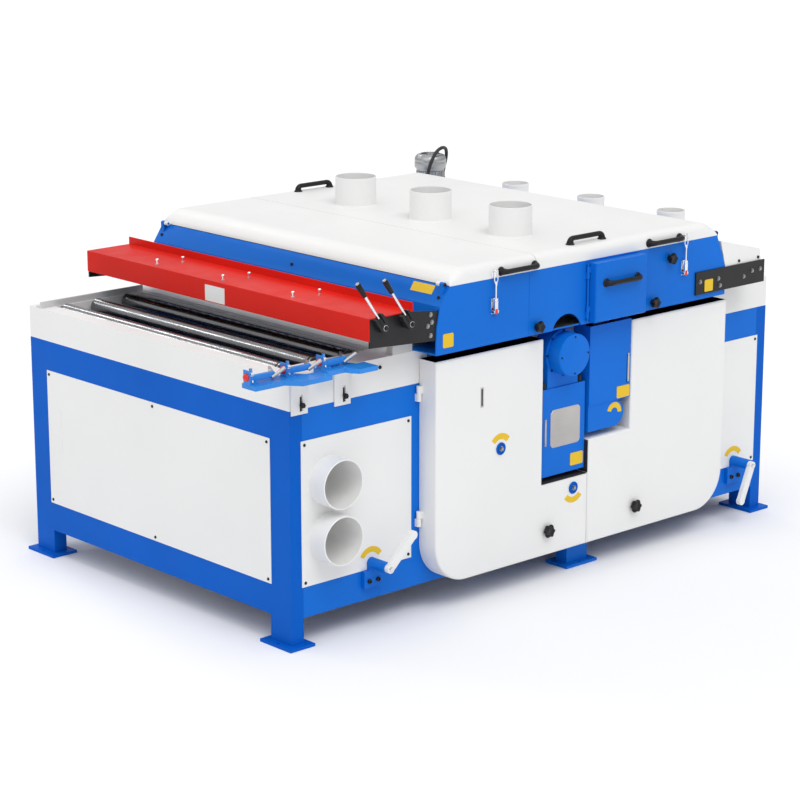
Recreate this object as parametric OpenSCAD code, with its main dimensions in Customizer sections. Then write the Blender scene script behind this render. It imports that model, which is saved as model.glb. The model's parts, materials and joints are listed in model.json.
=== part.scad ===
// Multi rip saw for boards: roller in-feed, hooded two-arbor saw section and out-feed.
// X runs with the feed, the drive side faces -Y and Z is up.
// The origin lies on the floor, midway between the four corner feet.

/* [Base frame] */
// Length of the welded frame along the feed
frame_len = 2686; // [2620:1:2800]
// Width of the welded frame across the feed
frame_wid = 1650; // [1620:1:1720]
// Height of the top rails above the floor
frame_h = 915; // [890:1:950]
// Wide side of the rectangular posts
post_wide = 120; // [105:1:135]
// Thin side of the posts and of all rails
post_thin = 60; // [50:1:66]
// Height of the top rails
top_rail_h = 130; // [115:1:140]
// Height of the lower rails
low_rail_h = 128; // [110:1:140]
// Underside of the lower rails above the floor
low_rail_z = 110; // [95:1:125]
// Middle of the centre post along the feed
mid_post_x = 185; // [180:1:190]
// Middle of the inner post at the in-feed end of the drive bay
inner_post_in_x = -720; // [-726:1:-716]
// Middle of the inner post at the out-feed end of the drive bay
inner_post_out_x = 990; // [985:1:1000]
// How far a foot plate stands out past its post
foot_over = 30; // [26:1:40]
// Thickness of the foot plates
foot_t = 12; // [8:1:20]
// Radius of the anchor holes in the foot plates
anchor_r = 6; // [4:0.5:8]

/* [Panels] */
// Sheet thickness of the bolted panels
panel_t = 3; // [2:0.5:5]
// How far a panel laps over the frame around its opening
panel_lap = 8; // [5:1:12]
// Outer radius of the two base dust spigots
spigot_r = 95; // [80:1:100]
// Length of the base dust spigots
spigot_len = 87; // [60:1:88]
// Middle of the spigots, behind the in-feed end
spigot_back = 183; // [170:1:190]
// Height of the lower spigot's axis above the lower rails
spigot_rise = 166; // [150:1:175]
// Distance between the two spigot axes
spigot_pitch = 218; // [206:1:230]

/* [Tables] */
// Height of the table aprons, from the frame to the table top
apron_h = 129; // [115:1:145]
// Sheet thickness of the tables
table_t = 8; // [6:1:12]
// Length of the saw bed, centred on the frame
bed_len = 1320; // [1290:1:1350]
// Radius of the in-feed rollers
roller_r = 35; // [28:1:40]
// How far the in-feed rollers stand above the table top
roller_proud = 10; // [4:1:14]
// First roller's axis, behind the in-feed end
roller_back = 103; // [98:1:112]
// Distance between the in-feed rollers
roller_pitch = 157; // [150:1:160]
// Distance of the roller opening from the near edge of the table
opening_near = 135; // [128:1:150]
// Distance of the roller opening from the far edge of the table
opening_far = 90; // [84:1:100]
// Radius of the in-feed roller journals
journal_r = 12.5; // [10:0.5:15]

/* [Hood] */
// How far the hood overhangs the frame on the drive side
hood_over = 120; // [112:1:130]
// How far the hood stays inside the frame on the far side
hood_inset = 2; // [0:1:6]
// Height of the hood sides above the table
hood_h = 256; // [244:1:270]
// Foot of the hood's front edge along the feed
hood_front_x = -725; // [-732:1:-716]
// Foot of the hood's rear edge along the feed
hood_rear_x = 924; // [916:1:934]
// Sheet thickness of the hood
hood_t = 6; // [4:1:8]
// Front bottom edge of the front lid along the feed
lid_front_x = -656; // [-664:1:-648]
// Rear bottom edge of the rear lid along the feed
lid_rear_x = 866; // [858:1:874]
// Seam between the two lids along the feed
lid_seam_x = -196; // [-215:1:-175]
// Height of the lids
lid_h = 60; // [52:1:70]
// Sheet thickness of the lids
lid_t = 4; // [3:0.5:6]
// Radius of the folded edges along the lids
lid_edge_r = 34; // [24:1:44]
// Outer radius of the lid's dust ports
port_r = 87.5; // [75:0.5:95]
// Height of the dust ports above the lid
port_h = 120; // [90:1:140]
// Wall of all dust ports and spigots
port_wall = 4; // [2:0.5:6]
// Row of the lid's dust ports along the feed
port_x = 35; // [15:1:55]
// Middle dust port across the feed
port_mid_y = -100; // [-115:1:-85]
// Distance between the dust ports
port_pitch = 469; // [455:1:480]

/* [Guard and side plates] */
// Front face of the kick-back guard along the feed
guard_front_x = -1055; // [-1065:1:-1048]
// Depth of the guard's top along the feed
guard_depth = 219; // [205:1:222]
// Height of the guard's top above the table
guard_rise = 191; // [180:1:196]
// Height of the guard's front lip
guard_lip = 87; // [70:1:95]
// Height of the guard's rear upstand
guard_back = 35; // [25:1:42]
// Sheet thickness of the guard
guard_t = 4; // [3:0.5:6]
// Thickness of the black side plates
side_plate_t = 8; // [6:0.5:10]
// First finger shaft along the feed
finger_x = -991; // [-996:1:-986]
// Distance between the two finger shafts
finger_pitch = 115; // [110:1:120]
// Height of the finger shafts above the table
finger_rise = 151; // [146:1:156]
// Radius of the finger shafts
finger_shaft_r = 12; // [9:0.5:14]
// Reach of the kick-back fingers below their shaft
finger_reach = 133; // [120:1:136]
// Lean of the resting fingers towards the out-feed
finger_lean = 42; // [36:1:46]
// Number of fingers in a row
finger_count = 26; // [16:1:30]
// Length of the finger levers from shaft to tip
lever_len = 226; // [200:1:240]
// Lean of the finger levers towards the in-feed
lever_lean = 35.5; // [28:0.5:42]

/* [Out-feed cover] */
// Rear end of the out-feed cover along the feed
cover_rear_x = 1156; // [1146:1:1160]
// Height of the cover's upper edge above the table
cover_rise = 228; // [220:1:234]
// Height of the cover's lower end above the table
cover_drop = 166; // [156:1:175]
// Outer radius of the cover's dust ports
rear_port_r = 60; // [50:1:66]
// Row of the cover's dust ports along the feed
rear_port_x = 1000; // [992:1:1010]
// Height of the cover's dust ports above the table
rear_port_top = 297; // [285:1:320]

/* [Doors] */
// In-feed edge of the left door along the feed
door_left_x = -700; // [-702:1:-694]
// Seam between the doors along the feed
door_seam_x = 140; // [138:1:142]
// Out-feed edge of the right door along the feed
door_right_x = 969; // [964:1:972]
// Depth of the door pans
door_depth = 94; // [86:1:100]
// Sheet thickness of the doors
door_t = 4; // [3:0.5:5]
// Lower edge of the doors above the floor
door_low_z = 118; // [100:1:135]
// Gap between the doors and the hood
door_gap = 34; // [28:1:40]
// Radius of the lower outer corners of the doors
door_corner_r = 162; // [140:1:175]
// In-feed edge of the notch for the arbor drive
notch_left_x = -122; // [-126:1:-118]
// Out-feed edge of the notch for the belt guard
notch_right_x = 388; // [386:1:394]
// Bottom of the arbor drive notch above the floor
notch_left_z = 415; // [405:1:420]
// Bottom of the belt guard notch, from the underside of the top rails
notch_right_z = -230; // [-240:1:-225]

/* [Drive] */
// Lower arbor's axis along the feed
arbor_low_x = 8; // [4:1:12]
// Height of the lower arbor's axis above the frame
arbor_low_rise = 18; // [14:1:22]
// Upper arbor's axis along the feed
arbor_up_x = 250; // [246:1:254]
// Height of the upper arbor's axis above the table
arbor_up_rise = 128; // [120:1:136]
// Radius of both arbors
arbor_r = 30; // [24:1:34]
// Radius of the lower saw blades
blade_low_r = 150; // [130:1:155]
// Radius of the upper saw blades
blade_up_r = 98; // [85:1:102]
// Number of blades on each arbor
blade_count = 6; // [3:1:9]
// Thickness of a saw blade
blade_t = 5; // [3:0.5:7]
// Radius of the feed rollers
feed_r = 50; // [44:1:54]
// In-feed feed roller along the feed
feed_in_x = -480; // [-484:1:-476]
// Out-feed feed roller along the feed
feed_out_x = 560; // [556:1:564]
// Gap between the feed rollers and the pressure rollers
feed_gap = 60; // [50:1:64]
// Radius of the arbor pulleys
pulley_r = 60; // [50:1:64]
// Radius of the motor pulleys
motor_pulley_r = 66; // [56:1:70]
// Radius of the main motors
motor_r = 112; // [100:1:116]
// Radius of the drive's round end cap
cap_r = 86; // [82:1:88]

/* [Side press] */
// How far the first press plate reaches past the in-feed end
press_over = 222; // [215:1:230]
// Width of a press plate
press_wid = 78; // [70:1:80]
// Thickness of a press plate
press_t = 18; // [12:1:20]
// Length of a press arm
press_len = 105; // [95:1:108]
// Distance between the press arms
press_pitch = 170; // [166:1:175]

/* [Cranks] */
// In-feed crank's axis, behind the in-feed end
crank_back = 393; // [388:1:398]
// Out-feed crank's axis, before the out-feed end
crank_ahead = 191; // [186:1:193]
// Height of the crank axes above the lower rails
crank_rise = 17; // [14:1:22]
// Length of the crank arms
crank_len = 160; // [150:1:161]

/* [Lift motor] */
// Lift motor's axis along the feed
lift_x = 977; // [972:1:982]
// Lift motor's axis, outside the frame
lift_out = 86; // [84:1:92]
// Radius of the lift motor's cowl
lift_r = 74; // [64:1:74]
// Height of the lift motor's top above the table
lift_top = 372; // [355:1:385]

/* [Hidden] */
$fn = 48;
over = 1;              // overrun of every cut
run_fit = 0.05;        // radial clearance of running fits
free_gap = 0.4;        // gap between faces that move past each other
seam_gap = 1;          // half the gap between two doors or two lids

blue = [0.10, 0.40, 0.82];
white = [0.92, 0.92, 0.91];
red = [0.84, 0.13, 0.09];
black = [0.07, 0.07, 0.08];
steel = [0.66, 0.67, 0.69];
grey = [0.55, 0.56, 0.58];

// Frame
in_x = -frame_len / 2;
out_x = frame_len / 2;
near_y = -frame_wid / 2;
far_y = frame_wid / 2;
table_z = frame_h + apron_h;
low_top = low_rail_z + low_rail_h;
rail_z = frame_h - top_rail_h;
beam_wid = 60;
beam_h = 80;
beam_back = 335;
beam_ahead = 235;
beam_in_x = mid_post_x - beam_back;
beam_out_x = mid_post_x + beam_ahead;
in_bay_plan_len = 623;       // in-feed bay that the crank sizes are given for
out_bay_plan_len = 353;      // out-feed bay that the crank sizes are given for
in_bay_fit = (inner_post_in_x - in_x) / in_bay_plan_len;
out_bay_fit = (out_x - inner_post_out_x) / out_bay_plan_len;

// Panels and screws
panel_low_z = low_top - panel_lap;
panel_high_z = rail_z + panel_lap;
panel_half_y = far_y - post_wide + panel_lap;
panel_in_x = [in_x + post_thin - panel_lap, inner_post_in_x - post_thin / 2 + panel_lap];
panel_mid_x = [inner_post_in_x + post_thin / 2 - panel_lap, inner_post_out_x - post_thin / 2 + panel_lap];
panel_out_x = [inner_post_out_x + post_thin / 2 - panel_lap, out_x - post_thin + panel_lap];
spigot_x = in_x + spigot_back;
spigot_z = [low_top + spigot_rise, low_top + spigot_rise + spigot_pitch];
screw_r = 6;
screw_head = 4;
screw_inset = 16;
panel_screw_z = [panel_low_z + screw_inset, panel_high_z - screw_inset];
stud_r = 4;
stud_h = 26;
stud_head_r = 8;
stud_head = 5;
stud_row_shares = [0.16, 0.64];
stud_first_share = 0.25;
stud_step_share = 0.24;
stud_shift = 32;

// Tables and bed
bed_in_x = -bed_len / 2;
bed_out_x = bed_len / 2;
table_plan_len = 683;        // in-feed table that the roller sizes are given for
bed_plan_len = 1320;         // saw bed that the feed roller sizes are given for
table_fit = (bed_in_x - in_x) / table_plan_len;
bed_fit = bed_len / bed_plan_len;
bed_plate_t = 30;
bed_slot = 56;               // half width of a feed roller's slot
blade_slot_in = 205;         // blade opening before the lower arbor
blade_slot_out = 470;        // blade opening behind the lower arbor
opening_back = 68;
opening_len = 413;
opening_x = [in_x + opening_back * table_fit, in_x + (opening_back + opening_len) * table_fit];
roller_xs = [for (i = [0:2]) in_x + (roller_back + i * roller_pitch) * table_fit];
feed_xs = [feed_in_x * bed_fit, feed_out_x * bed_fit];
opening_y = [near_y + opening_near, far_y - opening_far];
bearer_t = 12;
bearer_h = 40;
roller_gap = 20;
roller_z = table_z + roller_proud - roller_r;
fence_t = 10;
fence_h = 26;
fence_wid = 38;
fence_inset = 85;
leadin_wid = 32;
leadin_t = 6;
block_len = 100;
block_gap = 10;
block_h = 35;
block_x = [hood_front_x - block_gap - block_len, hood_front_x - block_gap];

// Hood
hood_near_y = near_y - hood_over;
hood_far_y = far_y - hood_inset;
lid_z = table_z + hood_h;
lid_top_z = lid_z + lid_h;
front_rise_shares = [0, 0.40, 0.72, 1];
front_run_shares = [0, 0.05, 0.30, 1];
rear_rise_shares = [0, 0.48, 1];
rear_run_shares = [0, 0.05, 1];
hood_knob_shares = [[0.324, 0.129], [0.728, 0.121], [0.787, 0.781]];
nose_run = 85;
nose_run_shares = [0, 0.19, 0.60, 1];
nose_rise_shares = [0, 0.47, 0.83, 1];
hood_flange = 45;
hood_plate_rise = 96;
hood_plate_z = table_z + hood_plate_rise;
arch_shift = 30;
arch_r = 86;
arch_x = arbor_low_x - arch_shift;
belt_slot_half = 90;
belt_slot_side = 20;

// Lid hinges, handles and latches
lid_pin_r = 5;
lid_pin_off = 12;
lid_pin_rise = 6;
lid_knuckle_r = 9;
lid_lug_t = 20;
lid_lug_in = 15;
lid_cheek_h = 38;
handle_len = 195;
handle_r = 8;
handle_leg = 14;
handle_rise = 34;
front_handle_back = 102;
rear_handle_ahead = 328;
top_handle_shift = 103;
top_handle_in = 56;
skirt_handle_rise = 22;
latch_back = 231;
latch_ahead = 208;
latch_x = [lid_seam_x - latch_back, lid_rear_x - latch_ahead];
latch_foot = 128;            // latch pivot below the lid edge
latch_pin_r = 3;
latch_out = 14;
latch_wid = 18;
latch_h = 52;
latch_tip = 9;
latch_t = 8;
latch_base_t = 3;
latch_ear_t = 4;
bail_r = 2;
bail_half = 7;
bail_over = 34;

// Side door on the hood
side_door_back = 155;
side_door_ahead = 140;
side_door_gap = 8;
side_door_x = [arbor_up_x - side_door_back, arbor_up_x + side_door_ahead];
side_door_z = [table_z + side_door_gap, lid_z - side_door_gap];
side_door_depth = 45;
side_door_t = 4;
side_handle_share = 0.65;
side_hole_in = 30;
side_hinge_r = 4;
side_hinge_off = 8;
side_knuckle_r = 6.5;
side_lug = 24;
side_lug_in = 40;

// Knobs
knob_r = 25;
knob_h = 22;
knob_stem_r = 8;
knob_stem = 8;

// Guard, side plates and fingers
guard_z = table_z + guard_rise;
in_plate_lap = 35;
in_plate_front_rise = 79;
in_plate_rear_rise = 56;
in_plate_top_rise = 168;
in_plate_x = [guard_front_x + guard_t, hood_front_x + in_plate_lap];
in_plate_y = [hood_near_y + hood_t, hood_near_y + hood_t + side_plate_t];
in_plate_far_y = [hood_far_y - hood_t - side_plate_t, hood_far_y - hood_t];
out_plate_lap = 133;
out_plate_over = 12;
out_plate_rise = 22;
out_plate_h = 95;
out_plate_x = [lid_rear_x - out_plate_lap, cover_rear_x + out_plate_over];
out_plate_z = [table_z + out_plate_rise, table_z + out_plate_rise + out_plate_h];
finger_xs = [finger_x, finger_x + finger_pitch];
finger_z = table_z + finger_rise;
finger_t = 10;
finger_hub_r = 19;
finger_near = 165;            // fingers start this far from the near side plate
finger_far = 60;             // and end this far from the far one
finger_out_shares = [[-0.07, 0], [0.07, 0], [0.20, -0.95], [0.07, -1]];
finger_stagger_share = 0.5;
finger_start_share = 0.75;
lever_r = 5;
lever_hub = 22;
lever_stagger = 18;
lever_hub_r = 20;
grip_r = 11;
grip_len = 58;

// Out-feed cover
cover_gap = 26;
cover_front_x = lid_rear_x + cover_gap;
cover_t = 4;
cover_lip = 14;
cover_sink = 11;

// Doors
door_back_gap = 2;
door_back_y = near_y - door_back_gap;
door_face_y = door_back_y - door_depth;
door_top_z = table_z - door_gap;
hinge_r = 6;
hinge_out = 13;
hinge_off = 12;
hinge_knuckle_r = 10;
hinge_lug = 30;
hinge_low_rise = 142;
hinge_high_rise = 92;
hinge_zs = [low_top + hinge_low_rise, rail_z + hinge_high_rise];
shaft_hole_r = 20;
adjust_r = 11;
adjust_proud = 12;
adjust_back = 364;
adjust_ahead = 47;
adjust_high_rise = 373;
adjust_low_rise = 133;
adjust_xz = [[arbor_low_x - adjust_back, low_top + adjust_high_rise],
             [arbor_low_x + adjust_ahead, low_top + adjust_low_rise]];
notch_low_z = rail_z + notch_right_z;
door_knob_r = 29;
door_knob_h = 26;
door_knob_back = 233;
door_knob_ahead = 278;
door_knob_rise = 104;
door_knob_xs = [door_seam_x - door_knob_back, door_seam_x + door_knob_ahead];
door_knob_z = door_low_z + door_knob_rise;

// Arbors, pulleys, motors and feed rollers
arbor_low_z = frame_h + arbor_low_rise;
arbor_up_z = table_z + arbor_up_rise;
housing_r = 60;
housing_lap = 14;
housing_flange = 18;
blade_first_share = 0.12;
blade_y = [near_y + blade_first_share * frame_wid, far_y - blade_first_share * frame_wid];
spacer_r = 42;
pulley_out = 62;
pulley_wid = 44;
belt_inset = 6;
pulley_y = [near_y - pulley_out, near_y - pulley_out + pulley_wid];
belt_y = [pulley_y[0] + belt_inset, pulley_y[1] - belt_inset];
belt_t = 9;
motor_low_shift = 4;
motor_up_shift = 25;
motor_low_x = arbor_low_x + motor_low_shift;
motor_up_x = arbor_up_x + motor_up_shift;
motor_gap = 12;
motor_len = 408;
motor_y = [near_y + post_thin + motor_gap, near_y + post_thin + motor_gap + motor_len];
motor_stub_r = 19;
motor_foot_wid = 190;
motor_base_t = 20;
motor_base_back = 245;
motor_base_over = 60;
motor_base_lap = 12;
motor_base_y = [near_y + post_thin, motor_y[1] + motor_base_lap];
pedestal_half = 70;
pedestal_in = 15;
pedestal_t = 60;
pedestal_y = [near_y + pedestal_in, near_y + pedestal_in + pedestal_t];
pedestal_far_y = [far_y - hood_flange, far_y - hood_flange + pedestal_t / 2];
feed_journal_r = 20;
feed_proud = 2;
feed_end = 105;
feed_z = table_z + feed_proud - feed_r;
press_z = feed_z + 2 * feed_r + feed_gap;
feed_y = [near_y + feed_end, far_y - feed_end];
press_block = 36;
press_block_t = 26;

// Covers of the drive
box_gap = 14;
box_seam_gap = 8;
box_rise = 23;
box_drop = 118;
box_sink = 16;
box_wall = 6;
box_x = [notch_left_x + box_gap, door_seam_x - box_seam_gap];
box_z = [notch_left_z + box_rise, frame_h - box_drop];
motor_low_rise = 111;
motor_low_z = box_z[0] + motor_low_rise;
box_front_y = door_face_y + box_sink;
cap_proud = 44;
cap_flange_over = 10;
cap_flange_sink = 22;
cap_front_y = door_face_y - cap_proud;
cap_flange_r = cap_r + cap_flange_over;
cap_flange_y = door_face_y + cap_flange_sink;
belt_box_gap = 4;
belt_box_rise = 136;
belt_box_over = 8;
belt_box_sink = 4;
belt_low_in = 36;
belt_low_rise = 27;
belt_box_x = [door_seam_x + belt_box_gap, notch_right_x - belt_box_gap];
belt_box_z = [notch_low_z + belt_box_rise, door_top_z + belt_box_over];
motor_up_rise = 72;
motor_up_z = belt_box_z[0] + motor_up_rise;
belt_low_x = [door_seam_x + belt_box_gap, notch_right_x - belt_low_in];
belt_low_z = [notch_low_z + belt_low_rise, belt_box_z[0]];
belt_box_front_y = door_face_y + belt_box_sink;
belt_low_sink = 4;
belt_low_front_y = belt_box_front_y + belt_low_sink;
slot_rise = 62;
slot_len = 120;
slot_half = 5;
slot_z = [belt_box_z[0] + slot_rise, belt_box_z[0] + slot_rise + slot_len];

// Side press
press_z0 = table_z;
press_gap = 6;               // gap between a plate's inner edge and the table
press_step = 52;             // sideways step of a plate
press_y = near_y - press_gap - press_wid;
plate_1_lap = 93;
plate_2_back = 112;
plate_2_len = 201;
plate_x = [[in_x - press_over, in_x + plate_1_lap],
           [in_x + plate_2_back, in_x + plate_2_back + plate_2_len]];
plate_bend_shares = [0.42, 0.56, 0.70, 0.82];
tab_wid = 78;
tab_t = 6;
tab_low = 18;
tab_back = [6, 214];
tab_slot_in = 47;
tab_slot_half = 6.5;
tab_slot_low = 6;
tab_slot_high = 56;
tab_x = [for (b = tab_back) [in_x + b, in_x + b + tab_wid]];
tab_slot_x = [for (b = tab_back) in_x + b + tab_slot_in];
tab_knob_rise = 17;
tab_knob_z = frame_h + tab_knob_rise;
tab_knob_r = 11;
tab_knob_h = 16;
tab_stud_r = 5;
press_head_over = 206;
press_head_x = [for (i = [0:2]) in_x - press_head_over + i * press_pitch];
press_head_share = 0.4;
press_head_y = near_y - press_gap - press_wid * press_head_share;
head_wid = 38;
head_h = 52;
head_foot = 8;
press_pin_r = 6;
press_pin_h = 26;
press_collar_r = 10;
press_collar_h = 5;
press_eye_r = 15;
press_arm_wid = 16;
press_arm_h = 22;
shoe_run = 30;
shoe_side = 58;
shoe_t = 7;
cap_red_r = 14;
cap_red_len = 11;

// Cranks
crank_xs = [in_x + crank_back * in_bay_fit, out_x - crank_ahead * out_bay_fit];
crank_z = low_top + crank_rise;
crank_angles = [43, 247];
crank_hub_r = 22;
crank_shaft_r = 10;
crank_foot_wid = 92;
crank_foot_h = 70;
crank_foot_t = 18;
crank_web = 42;
crank_out = 98;
crank_arm_t = 20;
crank_arm_y = [near_y - crank_out - crank_arm_t, near_y - crank_out];
crank_arm_wid = 31;
crank_eye_r = 17;
crank_tip_over = 2;

// Lift motor
lift_y = far_y + lift_out;
lift_drop = 44;
lift_plate_z = table_z - lift_drop;
lift_plate_t = 15;
lift_plate_half = 86;
lift_box_half = 60;
lift_box_h = 105;
lift_flange_r = 76;
lift_flange_h = 16;
lift_body_r = 66;
lift_cowl_h = 66;
lift_term_out = 44;
lift_term_wid = 70;
lift_term_h = 90;
lift_term_rise = 70;
lift_term_lap = 6;
gland_r = 12;
gland_h = 18;
gland_in = 20;
lift_plate_top = lift_plate_z + lift_plate_t;
lift_box_top = lift_plate_top + lift_box_h;
lift_term_x = lift_x + lift_body_r - lift_term_lap;
lift_term_z = lift_box_top + lift_term_rise;
lift_plate_x = [lift_x - lift_plate_half, lift_x + lift_plate_half];
gland_x = lift_plate_x[0] + gland_in - lift_term_lap;

// Route of the lift motor's conduit, from the terminal box over the cowl to the bracket
conduit_r = 8;
conduit_sides = 8;
conduit_gap = 0.3;
conduit_over = 27;
conduit_top_z = table_z + lift_top + conduit_over;
conduit_from = [lift_term_x + lift_term_out / 2, lift_y, lift_term_z + lift_term_h + gland_h + conduit_gap];
conduit_to = [gland_x, far_y + gland_in, lift_plate_top + gland_h + conduit_gap];
conduit_rise_shares = [
    [0, 0, 0], [-0.006, 0, 0.164], [-0.045, 0.03, 0.357], [-0.071, 0.106, 0.572], [-0.032, 0.258, 0.779],
    [0.091, 0.47, 0.931], [0.286, 0.712, 1]
];
conduit_fall_shares = [
    [0.5, 0.924, 1], [0.708, 1.091, 0.976], [0.883, 1.182, 0.919], [1.006, 1.182, 0.841],
    [1.078, 1.136, 0.753], [1.117, 1.076, 0.651], [1.11, 1.015, 0.517], [1.058, 1, 0.37],
    [1.013, 1, 0.236], [1, 1, 0.114], [1, 1, 0]
];
function conduit_point(s, foot_z) = [
    conduit_from[0] + s[0] * (conduit_to[0] - conduit_from[0]),
    conduit_from[1] + s[1] * (conduit_to[1] - conduit_from[1]),
    foot_z + s[2] * (conduit_top_z - foot_z)
];
conduit_route = concat(
    [for (s = conduit_rise_shares) conduit_point(s, conduit_from[2])],
    [for (s = conduit_fall_shares) conduit_point(s, conduit_to[2])]
);

// Plain shapes

module span(x, y, z) {
    translate([x[0], y[0], z[0]])
        cube([x[1] - x[0], y[1] - y[0], z[1] - z[0]]);
}

module rod_x(y, z, r, x) {
    translate([x[0], y, z]) rotate([0, 90, 0]) cylinder(r = r, h = x[1] - x[0]);
}

module rod_y(x, z, r, y) {
    translate([x, y[0], z]) rotate([-90, 0, 0]) cylinder(r = r, h = y[1] - y[0]);
}

module rod_z(x, y, r, z) {
    translate([x, y, z[0]]) cylinder(r = r, h = z[1] - z[0]);
}

// Extrudes an outline drawn in X and Z along Y
module extrude_y(y) {
    translate([0, y[1], 0]) rotate([90, 0, 0]) linear_extrude(y[1] - y[0]) children();
}

// Extrudes an outline drawn in Y and Z along X
module extrude_x(x) {
    translate([x[0], 0, 0]) rotate([90, 0, 90]) linear_extrude(x[1] - x[0]) children();
}

// Bow handle along X on a face that looks along -Y
module bow_handle(x, z, face_y) {
    half = handle_len / 2;
    bar_y = face_y - handle_rise + handle_r;
    rod_x(bar_y, z, handle_r, [x - half, x + half]);
    for (leg_x = [x - half, x + half - handle_leg])
        span([leg_x, leg_x + handle_leg], [bar_y, face_y], [z - handle_r, z + handle_r]);
}

// Base frame

module foot_plate(x, y) {
    span([x[0] - foot_over, x[1] + foot_over], [y[0] - foot_over, y[1] + foot_over], [0, foot_t]);
}

module end_frame() {
    x = [in_x, in_x + post_thin];
    difference() {
        union() {
            for (s = [-1, 1]) {
                y = s < 0 ? [near_y, near_y + post_wide] : [far_y - post_wide, far_y];
                span(x, y, [0, frame_h]);
                foot_plate(x, y);
            }
            span(x, [near_y, far_y], [rail_z, frame_h]);
            span(x, [near_y, far_y], [low_rail_z, low_top]);
        }
        for (s = [-1, 1])
            rod_z(in_x - foot_over / 2, s * (far_y - post_wide / 2), anchor_r, [-over, foot_t + over]);
    }
}

module infeed_leg_frame() color(blue) end_frame();

module outfeed_leg_frame() color(blue) mirror([1, 0, 0]) end_frame();

module side_frame(s) {
    y = s < 0 ? [near_y, near_y + post_thin] : [far_y - post_thin, far_y];
    x = [in_x + post_thin, out_x - post_thin];
    mid = [mid_post_x - post_wide / 2, mid_post_x + post_wide / 2];
    span(x, y, [rail_z, frame_h]);
    span(x, y, [low_rail_z, low_top]);
    for (p = [inner_post_in_x, inner_post_out_x])
        span([p - post_thin / 2, p + post_thin / 2], y, [low_rail_z, frame_h]);
    span(mid, y, [0, frame_h]);
    foot_plate(mid, y);
}

module side_rails() color(blue) difference() {
    union() {
        for (s = [-1, 1]) side_frame(s);
        for (b = [beam_in_x, beam_out_x])
            span([b, b + beam_wid], [near_y + post_thin, far_y - post_thin], [low_top - beam_h, low_top]);
    }
    rod_y(arbor_low_x, arbor_low_z, housing_r + free_gap, [near_y - over, far_y + over]);
    for (s = [-1, 1])
        rod_z(mid_post_x, s * (far_y + foot_over / 2), anchor_r, [-over, foot_t + over]);
}

// Panels

module infeed_side_panel() color(white) difference() {
    union() {
        span(panel_in_x, [near_y - panel_t, near_y], [panel_low_z, panel_high_z]);
        for (z = spigot_z) rod_y(spigot_x, z, spigot_r, [near_y - panel_t - spigot_len, near_y]);
    }
    for (z = spigot_z)
        rod_y(spigot_x, z, spigot_r - port_wall, [near_y - panel_t - spigot_len - over, near_y + over]);
}

module plain_panels() color(white) {
    span(panel_out_x, [near_y - panel_t, near_y], [panel_low_z, panel_high_z]);
    for (x = [in_x - panel_t, out_x])
        span([x, x + panel_t], [-panel_half_y, panel_half_y], [panel_low_z, panel_high_z]);
    for (x = [panel_in_x, panel_mid_x, panel_out_x])
        span(x, [far_y, far_y + panel_t], [panel_low_z, panel_high_z]);
}

module side_screws(x, s) {
    head = s < 0 ? [near_y - panel_t - screw_head, near_y - panel_t]
                 : [far_y + panel_t, far_y + panel_t + screw_head];
    for (px = [x[0] + screw_inset, x[1] - screw_inset], pz = panel_screw_z)
        rod_y(px, pz, screw_r, head);
}

module end_screws(s) {
    head = s < 0 ? [in_x - panel_t - screw_head, in_x - panel_t]
                 : [out_x + panel_t, out_x + panel_t + screw_head];
    side = panel_half_y - screw_inset;
    for (py = [-side, 0, side], pz = panel_screw_z)
        rod_x(py, pz, screw_r, head);
}

module guard_stud(x, y) {
    rod_z(x, y, stud_r, [guard_z, guard_z + stud_h]);
    rod_z(x, y, stud_head_r, [guard_z, guard_z + stud_head]);
    rod_z(x, y, stud_head_r, [guard_z + stud_h - stud_head, guard_z + stud_h]);
}

module latch_base(x) {
    pin_y = hood_near_y - latch_out;
    z = lid_z - latch_foot;
    half = latch_wid / 2 + free_gap;
    span([x - half - latch_ear_t, x + half + latch_ear_t], [hood_near_y - latch_base_t, hood_near_y],
        [z - latch_tip, z + latch_h]);
    for (e = [[x - half - latch_ear_t, x - half], [x + half, x + half + latch_ear_t]])
        span(e, [pin_y - latch_pin_r, hood_near_y - latch_base_t],
            [z - 2 * latch_pin_r, z + 2 * latch_pin_r]);
    rod_x(pin_y, z, latch_pin_r, [x - half - latch_ear_t, x + half + latch_ear_t]);
}

module steel_hardware() color(steel) {
    side_screws(panel_in_x, -1);
    side_screws(panel_out_x, -1);
    for (x = [panel_in_x, panel_mid_x, panel_out_x]) side_screws(x, 1);
    for (s = [-1, 1]) end_screws(s);
    span_y = hood_far_y - hood_near_y;
    for (i = [0:2], r = [0:1])
        guard_stud(guard_front_x + stud_row_shares[r] * guard_depth,
            hood_far_y - span_y * (stud_first_share + stud_step_share * i) - r * stud_shift);
    for (x = latch_x) latch_base(x);
}

// Tables and bed

module infeed_table() color(white) {
    difference() {
        span([in_x, bed_in_x], [near_y, far_y], [frame_h, table_z]);
        span([in_x + table_t, bed_in_x - table_t], [near_y + table_t, far_y - table_t],
            [frame_h - over, table_z - table_t]);
        span(opening_x, opening_y, [table_z - table_t - over, table_z + over]);
    }
    for (y = [[opening_y[0] - bearer_t, opening_y[0]], [opening_y[1], opening_y[1] + bearer_t]])
        difference() {
            span(opening_x, y, [roller_z - bearer_h, table_z - table_t]);
            for (x = roller_xs)
                rod_y(x, roller_z, journal_r + run_fit, [y[0] - over, y[1] + over]);
        }
}

module outfeed_table() color(white) difference() {
    span([bed_out_x, out_x], [near_y, far_y], [frame_h, table_z]);
    span([bed_out_x + table_t, out_x - table_t], [near_y + table_t, far_y - table_t],
        [frame_h - over, table_z - table_t]);
}

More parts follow.
